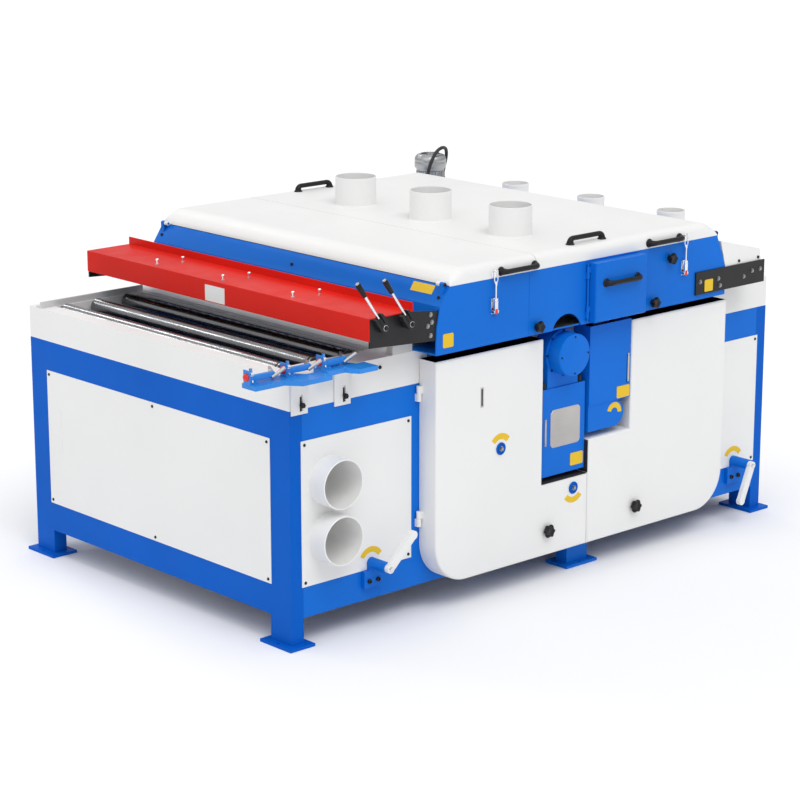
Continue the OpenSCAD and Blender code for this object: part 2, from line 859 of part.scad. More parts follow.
module saw_bed() color(grey) difference() {
    union() {
        for (y = [[near_y, near_y + post_thin], [far_y - post_thin, far_y]])
            span([bed_in_x, bed_out_x], y, [frame_h, table_z]);
        span([bed_in_x, bed_out_x], [near_y, far_y], [table_z - bed_plate_t, table_z]);
    }
    inner = [near_y + post_thin, far_y - post_thin];
    cut_z = [table_z - bed_plate_t - over, table_z + over];
    for (x = feed_xs) {
        span([x - bed_slot, x + bed_slot], inner, cut_z);
        rod_y(x, feed_z, feed_journal_r + run_fit, [near_y - over, far_y + over]);
    }
    span([arbor_low_x - blade_slot_in * bed_fit, arbor_low_x + blade_slot_out * bed_fit], inner, cut_z);
    rod_y(arbor_low_x, arbor_low_z, housing_r + free_gap, [near_y - over, far_y + over]);
}

module guide_rails() color(steel) {
    fence_y = far_y - fence_inset;
    x = [in_x, opening_x[1] + leadin_wid];
    span(x, [fence_y, fence_y + fence_t], [table_z, table_z + fence_h]);
    span(x, [fence_y, fence_y + fence_wid], [table_z, table_z + leadin_t]);
    span([opening_x[1], opening_x[1] + leadin_wid], [opening_y[0], fence_y], [table_z, table_z + leadin_t]);
    span(block_x, [near_y, near_y + block_h], [table_z, table_z + block_h]);
}

module infeed_roller(i) color(grey) {
    x = roller_xs[i];
    rod_y(x, roller_z, roller_r, [opening_y[0] + roller_gap, opening_y[1] - roller_gap]);
    rod_y(x, roller_z, journal_r, [opening_y[0] - bearer_t, opening_y[1] + bearer_t]);
}

module infeed_roller_1() infeed_roller(0);
module infeed_roller_2() infeed_roller(1);
module infeed_roller_3() infeed_roller(2);

// Side press

module press_slide(i) color(white) difference() {
    face = near_y - free_gap;
    union() {
        span(tab_x[i], [face - tab_t, face], [frame_h - tab_low, press_z0]);
        span(tab_x[i], [press_y - press_step / 2, face], [press_z0 - tab_t, press_z0]);
    }
    span([tab_slot_x[i] - tab_slot_half, tab_slot_x[i] + tab_slot_half], [face - tab_t - over, face + over],
        [frame_h - tab_slot_low, frame_h + tab_slot_high]);
}

module press_slide_1() press_slide(0);
module press_slide_2() press_slide(1);

module press_outline(x) {
    at = [for (s = plate_bend_shares) x[0] + s * (x[1] - x[0])];
    inner = press_y + press_wid;
    polygon([
        [x[0], press_y], [at[0], press_y], [at[1], press_y - press_step], [x[1], press_y - press_step],
        [x[1], inner - press_step], [at[3], inner - press_step], [at[2], inner], [x[0], inner]
    ]);
}

module press_head(x) {
    top = press_z0 + press_t + head_foot;
    half = head_wid / 2;
    y = [press_head_y - half, press_head_y + half];
    collar_z = top + press_arm_h + free_gap;
    span([x - half, x + half], y, [press_z0 + press_t, top]);
    span([x - half, x - press_eye_r - free_gap], y, [top, top + head_h - head_foot]);
    rod_z(x, press_head_y, press_pin_r, [top, top + press_arm_h + press_pin_h]);
    rod_z(x, press_head_y, press_collar_r, [collar_z, collar_z + press_collar_h]);
}

module press_plate(i, heads) color(blue) {
    translate([0, 0, press_z0]) linear_extrude(press_t) press_outline(plate_x[i]);
    for (h = heads) press_head(press_head_x[h]);
}

module press_plate_1() press_plate(0, [0, 1]);
module press_plate_2() press_plate(1, [2]);

module press_cap(h) {
    x = press_head_x[h] - head_wid / 2;
    rod_x(press_head_y, press_z0 + press_t + head_h / 2, cap_red_r, [x - cap_red_len, x]);
}

module press_caps_1() color(red) {
    press_cap(0);
    press_cap(1);
}

module press_caps_2() color(red) press_cap(2);

module press_arm(h) color(blue) difference() {
    z = [press_z0 + press_t + head_foot + free_gap, press_z0 + press_t + head_foot + press_arm_h];
    x = press_head_x[h];
    end = x + press_len;
    half = press_arm_wid / 2;
    union() {
        rod_z(x, press_head_y, press_eye_r, z);
        span([x, end], [press_head_y - half, press_head_y + half], z);
        translate([0, 0, z[0]]) linear_extrude(z[1] - z[0]) polygon([
            [end - shoe_t, press_head_y], [end, press_head_y],
            [end + shoe_run, press_head_y + shoe_side], [end + shoe_run - shoe_t, press_head_y + shoe_side]
        ]);
    }
    rod_z(x, press_head_y, press_pin_r + run_fit, [z[0] - over, z[1] + over]);
}

module press_arm_1() press_arm(0);
module press_arm_2() press_arm(1);
module press_arm_3() press_arm(2);

module clamp_knobs() color(black) {
    tab_face = near_y - free_gap - tab_t - free_gap;
    for (x = tab_slot_x) {
        rod_y(x, tab_knob_z, tab_stud_r, [tab_face, near_y]);
        rod_y(x, tab_knob_z, tab_knob_r, [tab_face - tab_knob_h, tab_face]);
    }
    for (k = hood_knob_shares) {
        x = hood_front_x + k[0] * (hood_rear_x - hood_front_x);
        z = table_z + k[1] * hood_h;
        rod_y(x, z, knob_stem_r, [hood_near_y - knob_stem, hood_near_y]);
        rod_y(x, z, knob_r, [hood_near_y - knob_stem - knob_h, hood_near_y - knob_stem]);
    }
}

// Hood

function front_edge() = [for (i = [0:3])
    [hood_front_x + front_run_shares[i] * (lid_front_x - hood_front_x),
     table_z + front_rise_shares[i] * hood_h]];

function rear_edge() = [for (i = [0:2])
    [hood_rear_x + rear_run_shares[i] * (lid_rear_x - hood_rear_x), table_z + rear_rise_shares[i] * hood_h]];

function reversed(list) = [for (i = [len(list) - 1:-1:0]) list[i]];

function moved(list, x) = [for (p = list) [p[0] + x, p[1]]];

module hood_side() polygon(concat(front_edge(), reversed(rear_edge())));

module hood_cheek(x, s) {
    lug_y = [[hood_near_y + lid_lug_in, hood_near_y + lid_lug_in + lid_lug_t],
             [hood_far_y - lid_lug_in - lid_lug_t, hood_far_y - lid_lug_in]];
    pin_z = lid_z + lid_pin_rise;
    reach = s * lid_knuckle_r;
    for (i = [0:1]) {
        rod_y(x, pin_z, lid_knuckle_r, lug_y[i]);
        span([min(x + reach, x - reach / 2), max(x + reach, x - reach / 2)], lug_y[i],
            [pin_z - lid_cheek_h, pin_z]);
        pin_y = i == 0 ? [lug_y[0][0], lug_y[0][1] + lid_lug_t] : [lug_y[1][0] - lid_lug_t, lug_y[1][1]];
        rod_y(x, pin_z, lid_pin_r, pin_y);
    }
}

module side_hinge_lugs(y) {
    x = side_door_x[0] - side_hinge_off;
    for (z = [side_door_z[0] + side_lug_in, side_door_z[1] - side_lug_in]) {
        rod_z(x, y, side_knuckle_r, [z - side_lug, z]);
        span([x - side_knuckle_r, x + side_knuckle_r], [y, hood_near_y], [z - side_lug, z]);
        rod_z(x, y, side_hinge_r, [z - side_lug, z + side_lug]);
    }
}

module hood_body() color(blue) difference() {
    union() {
        extrude_y([hood_near_y, hood_near_y + hood_t]) hood_side();
        extrude_y([hood_far_y - hood_t, hood_far_y]) hood_side();
        intersection() {
            extrude_y([hood_near_y, hood_far_y])
                polygon(concat(front_edge(), reversed(moved(front_edge(), hood_t))));
            span([hood_front_x, lid_front_x + hood_t], [hood_near_y, hood_far_y], [hood_plate_z, lid_z]);
        }
        intersection() {
            extrude_y([hood_near_y, hood_far_y])
                polygon(concat(moved(rear_edge(), -hood_t), reversed(rear_edge())));
            span([lid_rear_x - hood_t, hood_rear_x], [hood_near_y, hood_far_y], [hood_plate_z, lid_z]);
        }
        span([hood_front_x, hood_rear_x], [hood_near_y, near_y + hood_flange], [table_z, table_z + hood_t]);
        span([hood_front_x, hood_rear_x], [far_y - hood_flange, hood_far_y], [table_z, table_z + hood_t]);
        hood_cheek(lid_front_x - lid_pin_off, -1);
        hood_cheek(lid_rear_x + lid_pin_off, 1);
        side_hinge_lugs(hood_near_y - side_hinge_off);
    }
    near_cut = [hood_near_y - over, hood_near_y + hood_t + over];
    rod_y(arch_x, table_z - arch_r / 3, arch_r, near_cut);
    for (y = [in_plate_y, in_plate_far_y])
        span([hood_front_x - over, in_plate_x[1]], y,
            [table_z + in_plate_rear_rise, table_z + in_plate_top_rise + hood_t]);
    span([arbor_up_x - belt_slot_half, arbor_up_x + belt_slot_half],
        [pulley_y[0] - belt_slot_side, near_y], [table_z - over, table_z + hood_t + over]);
    span([side_door_x[0] + side_hole_in, side_door_x[1] - side_hole_in], near_cut,
        [side_door_z[0] + side_hole_in, side_door_z[1] - side_hole_in]);
}

// Nose of a lid from its lower edge at x to the top, running along s
function nose(x, s, inset) = [for (i = [0:3])
    [x + s * (inset + nose_run_shares[i] * nose_run),
     lid_z + free_gap + nose_rise_shares[i] * (lid_h - free_gap - inset)]];

module lid_outline(x, s, seam, inset) {
    far = seam + s * (inset > 0 ? over : 0);
    low = lid_z + (inset > 0 ? -over : free_gap);
    polygon(concat([[x + s * inset, low]], nose(x, s, inset), [[far, lid_top_z - inset], [far, low]]));
}

module lid_section(inset) {
    y = [hood_near_y + inset, hood_far_y - inset];
    top = lid_top_z - inset;
    low = lid_z - over;
    r = lid_edge_r - inset;
    polygon([
        [y[0], low], [y[1], low], [y[1], top - r], [y[1] - r, top - r], [y[1] - r, top],
        [y[0] + r, top], [y[0] + r, top - r], [y[0], top - r]
    ]);
    for (c = [y[0] + r, y[1] - r]) translate([c, top - r]) circle(r);
}

module lid_solid(x, s, seam, inset) {
    reach = [min(x, seam) - over, max(x, seam) + over];
    intersection() {
        extrude_y([hood_near_y - over, hood_far_y + over]) lid_outline(x, s, seam, inset);
        extrude_x(reach) lid_section(inset);
    }
}

module lid_lugs(x, s) {
    pin_x = x - s * lid_pin_off;
    pin_z = lid_z + lid_pin_rise;
    lug_in = [lid_lug_in + lid_lug_t + free_gap, lid_lug_in + 2 * lid_lug_t];
    lug_y = [[hood_near_y + lug_in[0], hood_near_y + lug_in[1]],
             [hood_far_y - lug_in[1], hood_far_y - lug_in[0]]];
    for (y = lug_y) difference() {
        union() {
            rod_y(pin_x, pin_z, lid_knuckle_r, y);
            span([min(pin_x, x + s * lid_t), max(pin_x, x + s * lid_t)], y, [lid_z + free_gap, pin_z]);
        }
        rod_y(pin_x, pin_z, lid_pin_r + run_fit, [y[0] - over, y[1] + over]);
    }
}

module front_lid() color(white) {
    difference() {
        lid_solid(lid_front_x, 1, lid_seam_x - seam_gap, 0);
        lid_solid(lid_front_x, 1, lid_seam_x - seam_gap, lid_t);
    }
    lid_lugs(lid_front_x, 1);
}

module rear_lid() color(white) {
    ports = [for (i = [-1:1]) port_mid_y + i * port_pitch];
    difference() {
        union() {
            lid_solid(lid_rear_x, -1, lid_seam_x + seam_gap, 0);
            for (y = ports) rod_z(port_x, y, port_r, [lid_top_z - lid_t, lid_top_z + port_h]);
        }
        difference() {
            lid_solid(lid_rear_x, -1, lid_seam_x + seam_gap, lid_t);
            for (y = ports) rod_z(port_x, y, port_r, [lid_top_z - lid_t - over, lid_top_z]);
        }
        for (y = ports)
            rod_z(port_x, y, port_r - port_wall, [lid_top_z - 2 * lid_t, lid_top_z + port_h + over]);
    }
    lid_lugs(lid_rear_x, -1);
}

module front_lid_handle() color(black)
    bow_handle(lid_seam_x - front_handle_back, lid_z + skirt_handle_rise, hood_near_y);

module rear_lid_handles() color(black) {
    bow_handle(lid_rear_x - rear_handle_ahead, lid_z + skirt_handle_rise, hood_near_y);
    for (y = [hood_near_y + top_handle_in, hood_far_y - top_handle_in])
        translate([0, y, lid_top_z]) rotate([-90, 0, 0]) bow_handle(port_x + top_handle_shift, 0, 0);
}

module latch(x) color(steel) {
    y = hood_near_y - latch_out;
    z = lid_z - latch_foot;
    difference() {
        span([x - latch_wid / 2, x + latch_wid / 2], [y - latch_t / 2, y + latch_t / 2],
            [z - latch_tip, z + latch_h]);
        rod_x(y, z, latch_pin_r + run_fit, [x - latch_wid, x + latch_wid]);
    }
    for (s = [-1, 1]) rod_z(x + s * bail_half, y, bail_r, [z + latch_h, lid_z + bail_over]);
    rod_x(y, lid_z + bail_over, bail_r, [x - bail_half - bail_r, x + bail_half + bail_r]);
}

module latch_front() latch(latch_x[0]);
module latch_rear() latch(latch_x[1]);

module side_door() color(blue) {
    back = hood_near_y - free_gap;
    front = hood_near_y - side_door_depth;
    difference() {
        span(side_door_x, [front, back], side_door_z);
        span([side_door_x[0] + side_door_t, side_door_x[1] - side_door_t], [front + side_door_t, back + over],
            [side_door_z[0] + side_door_t, side_door_z[1] - side_door_t]);
    }
    x = side_door_x[0] - side_hinge_off;
    y = hood_near_y - side_hinge_off;
    for (z = [side_door_z[0] + side_lug_in, side_door_z[1] - side_lug_in]) difference() {
        union() {
            rod_z(x, y, side_knuckle_r, [z + free_gap, z + side_lug]);
            span([x, side_door_x[0]], [y - side_knuckle_r, y], [z + free_gap, z + side_lug]);
        }
        rod_z(x, y, side_hinge_r + run_fit, [z - over, z + side_lug + over]);
    }
}

module side_door_handle() color(black)
    bow_handle((side_door_x[0] + side_door_x[1]) / 2,
        side_door_z[0] + (side_door_z[1] - side_door_z[0]) * side_handle_share,
        hood_near_y - side_door_depth);

// Guard, side plates and kick-back fingers

module kickback_guard() color(red) {
    x = [guard_front_x, guard_front_x + guard_depth];
    y = [in_plate_y[0], in_plate_far_y[1]];
    span(x, y, [guard_z - guard_t, guard_z]);
    span([x[0], x[0] + guard_t], y, [guard_z - guard_lip, guard_z]);
    span([x[1] - guard_t, x[1]], y, [guard_z - guard_t, guard_z - guard_t + guard_back]);
}

module in_plate(y) difference() {
    extrude_y(y) polygon([
        [in_plate_x[0], table_z + in_plate_front_rise], [in_plate_x[1], table_z + in_plate_rear_rise],
        [in_plate_x[1], table_z + in_plate_top_rise],
        [guard_front_x + guard_depth, guard_z - guard_t], [in_plate_x[0], guard_z - guard_t]
    ]);
    for (x = finger_xs) rod_y(x, finger_z, finger_shaft_r + run_fit, [y[0] - over, y[1] + over]);
}

module side_plates() color(black) {
    in_plate(in_plate_y);
    in_plate(in_plate_far_y);
    span(out_plate_x, [hood_near_y - side_plate_t, hood_near_y], out_plate_z);
    span(out_plate_x, [hood_far_y, hood_far_y + side_plate_t], out_plate_z);
}

module finger_row(i) color(black) {
    x = finger_xs[i];
    inner = [in_plate_y[1] + finger_near, in_plate_far_y[0] - finger_far];
    pitch = (inner[1] - inner[0]) / (finger_count + 1);
    hub_y = [in_plate_y[0] - free_gap - lever_hub - i * lever_stagger, in_plate_y[0] - free_gap];
    rod_y(x, finger_z, finger_shaft_r, [hub_y[0], in_plate_far_y[1]]);
    rod_y(x, finger_z, lever_hub_r, hub_y);
    for (k = [1:finger_count]) {
        y = inner[0] + (k - finger_start_share + i * finger_stagger_share) * pitch;
        translate([x, 0, finger_z]) extrude_y([y - finger_t / 2, y + finger_t / 2]) union() {
            rotate(finger_lean) polygon([for (p = finger_out_shares) p * finger_reach]);
            circle(finger_hub_r);
        }
    }
    translate([x, hub_y[0] + lever_hub / 2, finger_z]) rotate([0, -lever_lean, 0]) {
        cylinder(r = lever_r, h = lever_len);
        translate([0, 0, lever_len - grip_len]) cylinder(r = grip_r, h = grip_len);
    }
}

module finger_row_1() finger_row(0);
module finger_row_2() finger_row(1);

// Out-feed cover

function cover_points(inset) = let (low = out_plate_z[1] - cover_sink - (inset > 0 ? over : 0)) [
    [cover_front_x + inset, table_z + cover_rise - inset],
    [cover_rear_x - cover_lip - inset, table_z + cover_drop - inset],
    [cover_rear_x - inset, low],
    [hood_rear_x + free_gap + inset, low],
    [hood_rear_x + free_gap + inset, out_plate_z[1]]
];

module outfeed_cover() color(white) {
    ports = [for (i = [-1:1]) port_mid_y + i * port_pitch];
    top = table_z + rear_port_top;
    difference() {
        union() {
            extrude_y([hood_near_y, hood_far_y]) polygon(cover_points(0));
            for (y = ports) rod_z(rear_port_x, y, rear_port_r, [out_plate_z[1], top]);
        }
        extrude_y([hood_near_y + cover_t, hood_far_y - cover_t]) polygon(cover_points(cover_t));
        for (y = ports) rod_z(rear_port_x, y, rear_port_r - port_wall, [out_plate_z[0], top + over]);
    }
}

// Doors

module door_outline(x, s, notch_x, notch_z, inset) {
    hinge_x = s < 0 ? x[0] + inset : x[1] - inset;
    seam_x = s < 0 ? x[1] - inset : x[0] + inset;
    r = door_corner_r - inset;
    low = door_low_z + inset;
    top = door_top_z + inset;
    round_x = hinge_x - s * r;
    difference() {
        union() {
            polygon([[seam_x, low], [round_x, low], [round_x, top], [seam_x, top]]);
            polygon([[round_x, low + r], [hinge_x, low + r], [hinge_x, top], [round_x, top]]);
            translate([round_x, low + r]) circle(r);
        }
        polygon([
            [notch_x[0] - inset, notch_z - inset], [notch_x[1] + inset, notch_z - inset],
            [notch_x[1] + inset, top + door_t], [notch_x[0] - inset, top + door_t]
        ]);
    }
}

module door_pan(x, s, notch_x, notch_z) difference() {
    extrude_y([door_face_y, door_back_y]) door_outline(x, s, notch_x, notch_z, 0);
    extrude_y([door_face_y + door_t, door_back_y + over]) door_outline(x, s, notch_x, notch_z, door_t);
}

function door_pin_x(s) = s < 0 ? door_left_x - hinge_off : door_right_x + hinge_off;

module door_lugs(s) {
    x = door_pin_x(s);
    y = near_y - hinge_out;
    edge = s < 0 ? door_left_x : door_right_x;
    for (z = hinge_zs) difference() {
        union() {
            rod_z(x, y, hinge_knuckle_r, [z + free_gap, z + hinge_lug]);
            span([min(x, edge), max(x, edge)], [y - hinge_knuckle_r, y], [z + free_gap, z + hinge_lug]);
        }
        rod_z(x, y, hinge_r + run_fit, [z - over, z + hinge_lug + over]);
    }
}

module left_door() color(white) difference() {
    union() {
        door_pan([door_left_x, door_seam_x - seam_gap], -1, [notch_left_x, door_seam_x], notch_left_z);
        door_lugs(-1);
    }
    face_cut = [door_face_y - over, door_face_y + door_t + over];
    for (a = adjust_xz) rod_y(a[0], a[1], shaft_hole_r, face_cut);
    rod_y(door_knob_xs[0], door_knob_z, knob_stem_r + run_fit, face_cut);
}

module right_door() color(white) difference() {
    union() {
        door_pan([door_seam_x + seam_gap, door_right_x], 1, [door_seam_x, notch_right_x], notch_low_z);
        door_lugs(1);
    }
    rod_y(door_knob_xs[1], door_knob_z, knob_stem_r + run_fit,
        [door_face_y - over, door_face_y + door_t + over]);
}

module door_hinges() color(white) for (s = [-1, 1], z = hinge_zs) {
    x = door_pin_x(s);
    y = near_y - hinge_out;
    rod_z(x, y, hinge_knuckle_r, [z - hinge_lug, z]);
    span([x - hinge_knuckle_r, x + hinge_knuckle_r], [y, near_y], [z - hinge_lug, z]);
    rod_z(x, y, hinge_r, [z - hinge_lug, z + hinge_lug]);
}

module door_knob(i) color(black) {
    x = door_knob_xs[i];
    rod_y(x, door_knob_z, door_knob_r, [door_face_y - free_gap - door_knob_h, door_face_y - free_gap]);
    rod_y(x, door_knob_z, knob_stem_r, [door_face_y - free_gap, door_face_y + 2 * door_t]);
}

module door_knob_left() door_knob(0);
module door_knob_right() door_knob(1);

// Covers of the drive

module arbor_drive_cover() color(blue) difference() {
    union() {
        span(box_x, [box_front_y, near_y], box_z);
        rod_y(arbor_low_x, arbor_low_z, cap_flange_r, [cap_flange_y, near_y]);
        rod_y(arbor_low_x, arbor_low_z, cap_r, [cap_front_y, near_y]);
        span([arbor_low_x - cap_r, arbor_low_x + cap_r], [cap_flange_y, near_y],
            [box_z[1] - over, arbor_low_z]);
    }
    span([box_x[0] + box_wall, box_x[1] - box_wall], [box_front_y + box_wall, near_y + over],
        [box_z[0] + box_wall, box_z[1] - box_wall]);
    rod_y(arbor_low_x, arbor_low_z, cap_r - box_wall, [cap_front_y + box_wall, near_y + over]);
    span([arbor_low_x - cap_r + box_wall, arbor_low_x + cap_r - box_wall],
        [cap_flange_y + box_wall, near_y + over], [box_z[1] - 2 * box_wall, arbor_low_z]);
}

module belt_guard() color(blue) difference() {
    low_r = (belt_low_z[1] - belt_low_z[0]) / 2;
    round_x = belt_low_x[1] - low_r;
    union() {
        span(belt_box_x, [belt_box_front_y, near_y], belt_box_z);
        span([belt_low_x[0], round_x], [belt_low_front_y, near_y], belt_low_z);
        rod_y(round_x, belt_low_z[0] + low_r, low_r, [belt_low_front_y, near_y]);
    }
    span([belt_box_x[0] + box_wall, belt_box_x[1] - box_wall], [belt_box_front_y + box_wall, near_y + over],
        [belt_box_z[0] - over, belt_box_z[1] + over]);
    span([belt_low_x[0] + box_wall, round_x], [belt_low_front_y + box_wall, near_y + over],
        [belt_low_z[0] + box_wall, belt_low_z[1] + over]);
    rod_y(round_x, belt_low_z[0] + low_r, low_r - box_wall, [belt_low_front_y + box_wall, near_y + over]);
    span([belt_box_x[1] - box_wall - 3 * slot_half, belt_box_x[1] - box_wall - slot_half],
        [belt_box_front_y - over, belt_box_front_y + box_wall + over], slot_z);
}

// Cranks

module crank_bracket(x) difference() {
    panel_y = near_y - panel_t - free_gap;
    foot_top = panel_low_z - free_gap;
    union() {
        span([x - crank_foot_wid / 2, x + crank_foot_wid / 2], [near_y - crank_foot_t, near_y],
            [foot_top - crank_foot_h, foot_top]);
        span([x - crank_web / 2, x + crank_web / 2], [near_y - crank_foot_t, panel_y],
            [foot_top - crank_web, crank_z]);
        rod_y(x, crank_z, crank_hub_r, [crank_arm_y[1] + free_gap, panel_y]);
    }
    rod_y(x, crank_z, crank_shaft_r + run_fit, [crank_arm_y[0], near_y]);
}

module crank_brackets() color(blue) for (x = crank_xs) crank_bracket(x);

module crank(i) color(white) {
    x = crank_xs[i];
    rod_y(x, crank_z, crank_shaft_r, [crank_arm_y[0] + crank_arm_t / 2, near_y - panel_t - 2 * free_gap]);
    translate([x, 0, crank_z]) rotate([0, -crank_angles[i], 0]) {
        rod_y(0, 0, crank_eye_r, crank_arm_y);
        span([crank_shaft_r, crank_len], crank_arm_y, [-crank_arm_wid / 2, crank_arm_wid / 2]);
        rod_y(crank_len, 0, crank_arm_wid / 2 + crank_tip_over, crank_arm_y);
    }
}

module crank_infeed() crank(0);
module crank_outfeed() crank(1);

// Lift motor

module lift_motor() color(grey) {
    top = table_z + lift_top;
    term_y = [lift_y - lift_term_wid / 2, lift_y + lift_term_wid / 2];
    span(lift_plate_x, [far_y, lift_y + lift_r], [lift_plate_z, lift_plate_top]);
    span([lift_x - lift_box_half, lift_x + lift_box_half], [lift_y - lift_box_half, lift_y + lift_box_half],
        [lift_plate_top, lift_box_top]);
    rod_z(lift_x, lift_y, lift_flange_r, [lift_box_top, lift_box_top + lift_flange_h]);
    rod_z(lift_x, lift_y, lift_body_r, [lift_box_top, top - lift_cowl_h]);
    rod_z(lift_x, lift_y, lift_r, [top - lift_cowl_h, top]);
    span([lift_term_x, lift_term_x + lift_term_out], term_y, [lift_term_z, lift_term_z + lift_term_h]);
    rod_z(lift_term_x + lift_term_out / 2, lift_y, gland_r,
        [lift_term_z, lift_term_z + lift_term_h + gland_h]);
    rod_z(gland_x, far_y + gland_in, gland_r, [lift_plate_z, lift_plate_top + gland_h]);
}

// Smooth curve through the route's points
function curve_at(p, i, t) = let (
    n = len(p) - 1,
    a = p[max(i - 1, 0)], b = p[i], c = p[min(i + 1, n)], d = p[min(i + 2, n)]
) 0.5 * (2 * b + (c - a) * t + (2 * a - 5 * b + 4 * c - d) * t * t + (3 * b - a - 3 * c + d) * t * t * t);

function curve(p, steps) = concat(
    [for (i = [0:len(p) - 2], k = [0:steps - 1]) curve_at(p, i, k / steps)],
    [p[len(p) - 1]]
);

function unit(v) = v / norm(v);

module tube(path, r, sides) {
    n = len(path);
    dirs = [for (i = [0:n - 1]) unit(path[min(i + 1, n - 1)] - path[max(i - 1, 0)])];
    side = [for (d = dirs) unit(cross(d, [0.3, 1, 0]))];
    rings = [for (i = [0:n - 1], k = [0:sides - 1]) let (a = 360 * k / sides)
        path[i] + r * (cos(a) * side[i] + sin(a) * cross(dirs[i], side[i]))];
    walls = [for (i = [0:n - 2], k = [0:sides - 1]) let (a = i * sides + k, b = i * sides + (k + 1) % sides)
        each [[a, b, b + sides], [a, b + sides, a + sides]]];
    last = (n - 1) * sides;
    ends = [for (k = [1:sides - 2]) each [[0, k + 1, k], [last, last + k, last + k + 1]]];
    polyhedron(points = rings, faces = [for (f = concat(walls, ends)) [f[2], f[1], f[0]]]);
}

module motor_conduit() color(black) tube(curve(conduit_route, 2), conduit_r, conduit_sides);

// Saw drive inside the machine

module bearing_ring(x, z, r, bore, y) difference() {
    rod_y(x, z, r, y);
    rod_y(x, z, bore + run_fit, [y[0] - over, y[1] + over]);
}

module pedestal(y) difference() {
    union() {
        span([arbor_up_x - pedestal_half, arbor_up_x + pedestal_half], y, [table_z + hood_t, arbor_up_z]);
        rod_y(arbor_up_x, arbor_up_z, pedestal_half, y);
    }
    rod_y(arbor_up_x, arbor_up_z, arbor_r + run_fit, [y[0] - over, y[1] + over]);
}

module press_bearing(x, y) difference() {
    span([x - press_block, x + press_block], y, [press_z - press_block, press_z + press_block]);
    rod_y(x, press_z, feed_journal_r + run_fit, [y[0] - over, y[1] + over]);
}

module bearing_housings() color(steel) {
    bearing_ring(arbor_low_x, arbor_low_z, housing_r, arbor_r, [near_y, near_y + post_thin + housing_lap]);
    bearing_ring(arbor_low_x, arbor_low_z, housing_r, arbor_r, [far_y - post_thin - housing_lap, far_y]);
    for (y = [[near_y + post_thin, near_y + post_thin + housing_flange],
              [far_y - post_thin - housing_flange, far_y - post_thin]])
        bearing_ring(arbor_low_x, arbor_low_z, housing_r + housing_lap, housing_r - run_fit, y);
    pedestal(pedestal_y);
    pedestal(pedestal_far_y);
    for (x = feed_xs) {
        press_bearing(x, [hood_near_y + hood_t, hood_near_y + hood_t + press_block_t]);
        press_bearing(x, [hood_far_y - hood_t - press_block_t, hood_far_y - hood_t]);
    }
}

module saw_set(x, z, y, blade_r) {
    pitch = (blade_y[1] - blade_y[0]) / (blade_count - 1);
    rod_y(x, z, arbor_r, y);
    rod_y(x, z, pulley_r, pulley_y);
    rod_y(x, z, spacer_r, [blade_y[0] - spacer_r, blade_y[1] + spacer_r]);
    for (k = [0:blade_count - 1])
        rod_y(x, z, blade_r, [blade_y[0] + k * pitch - blade_t / 2, blade_y[0] + k * pitch + blade_t / 2]);
}

module lower_arbor() color(steel)
    saw_set(arbor_low_x, arbor_low_z, [pulley_y[0], far_y - housing_lap], blade_low_r);

module upper_arbor() color(steel)
    saw_set(arbor_up_x, arbor_up_z, [pulley_y[0], pedestal_far_y[1]], blade_up_r);

module main_motor(x, z) difference() {
    union() {
        rod_y(x, z, motor_r, motor_y);
        span([x - motor_foot_wid / 2, x + motor_foot_wid / 2], motor_y, [low_top + motor_base_t, z]);
    }
    rod_y(x, z, motor_stub_r + run_fit, [motor_y[0] - over, motor_y[0] + 2 * motor_stub_r]);
}

module main_motors() color(grey) {
    base_x = [beam_in_x - motor_base_back, beam_out_x + beam_wid + motor_base_over];
    span(base_x, motor_base_y, [low_top, low_top + motor_base_t]);
    main_motor(motor_low_x, motor_low_z);
    main_motor(motor_up_x, motor_up_z);
    for (a = adjust_xz) {
        rod_y(a[0], a[1], adjust_r, [door_face_y - adjust_proud, motor_base_y[0] + 2 * adjust_r]);
        span([a[0] - 2 * adjust_r, a[0] + 2 * adjust_r], [motor_base_y[0], motor_base_y[0] + 2 * adjust_r],
            [low_top + motor_base_t, a[1] + 2 * adjust_r]);
    }
}

module motor_pulley(x, z) {
    rod_y(x, z, motor_pulley_r, pulley_y);
    rod_y(x, z, motor_stub_r, [pulley_y[0], motor_y[0] + motor_stub_r]);
}

module lower_motor_pulley() color(steel) motor_pulley(motor_low_x, motor_low_z);
module upper_motor_pulley() color(steel) motor_pulley(motor_up_x, motor_up_z);

module belt(a, b) extrude_y(belt_y) difference() {
    hull() {
        translate(a) circle(pulley_r + belt_t, $fn = 32);
        translate(b) circle(motor_pulley_r + belt_t, $fn = 32);
    }
    hull() {
        translate(a) circle(pulley_r + free_gap, $fn = 32);
        translate(b) circle(motor_pulley_r + free_gap, $fn = 32);
    }
}

module drive_belts() color(black) {
    belt([arbor_low_x, arbor_low_z], [motor_low_x, motor_low_z]);
    belt([arbor_up_x, arbor_up_z], [motor_up_x, motor_up_z]);
}

module feed_roller(x) color(grey) {
    rod_y(x, feed_z, feed_r, feed_y);
    rod_y(x, feed_z, feed_journal_r, [near_y, far_y]);
}

module pressure_roller(x) color(black) {
    rod_y(x, press_z, feed_r, feed_y);
    rod_y(x, press_z, feed_journal_r, [hood_near_y + hood_t + free_gap, hood_far_y - hood_t - free_gap]);
}

module feed_roller_in() feed_roller(feed_xs[0]);
module feed_roller_out() feed_roller(feed_xs[1]);
module pressure_roller_in() pressure_roller(feed_xs[0]);
module pressure_roller_out() pressure_roller(feed_xs[1]);

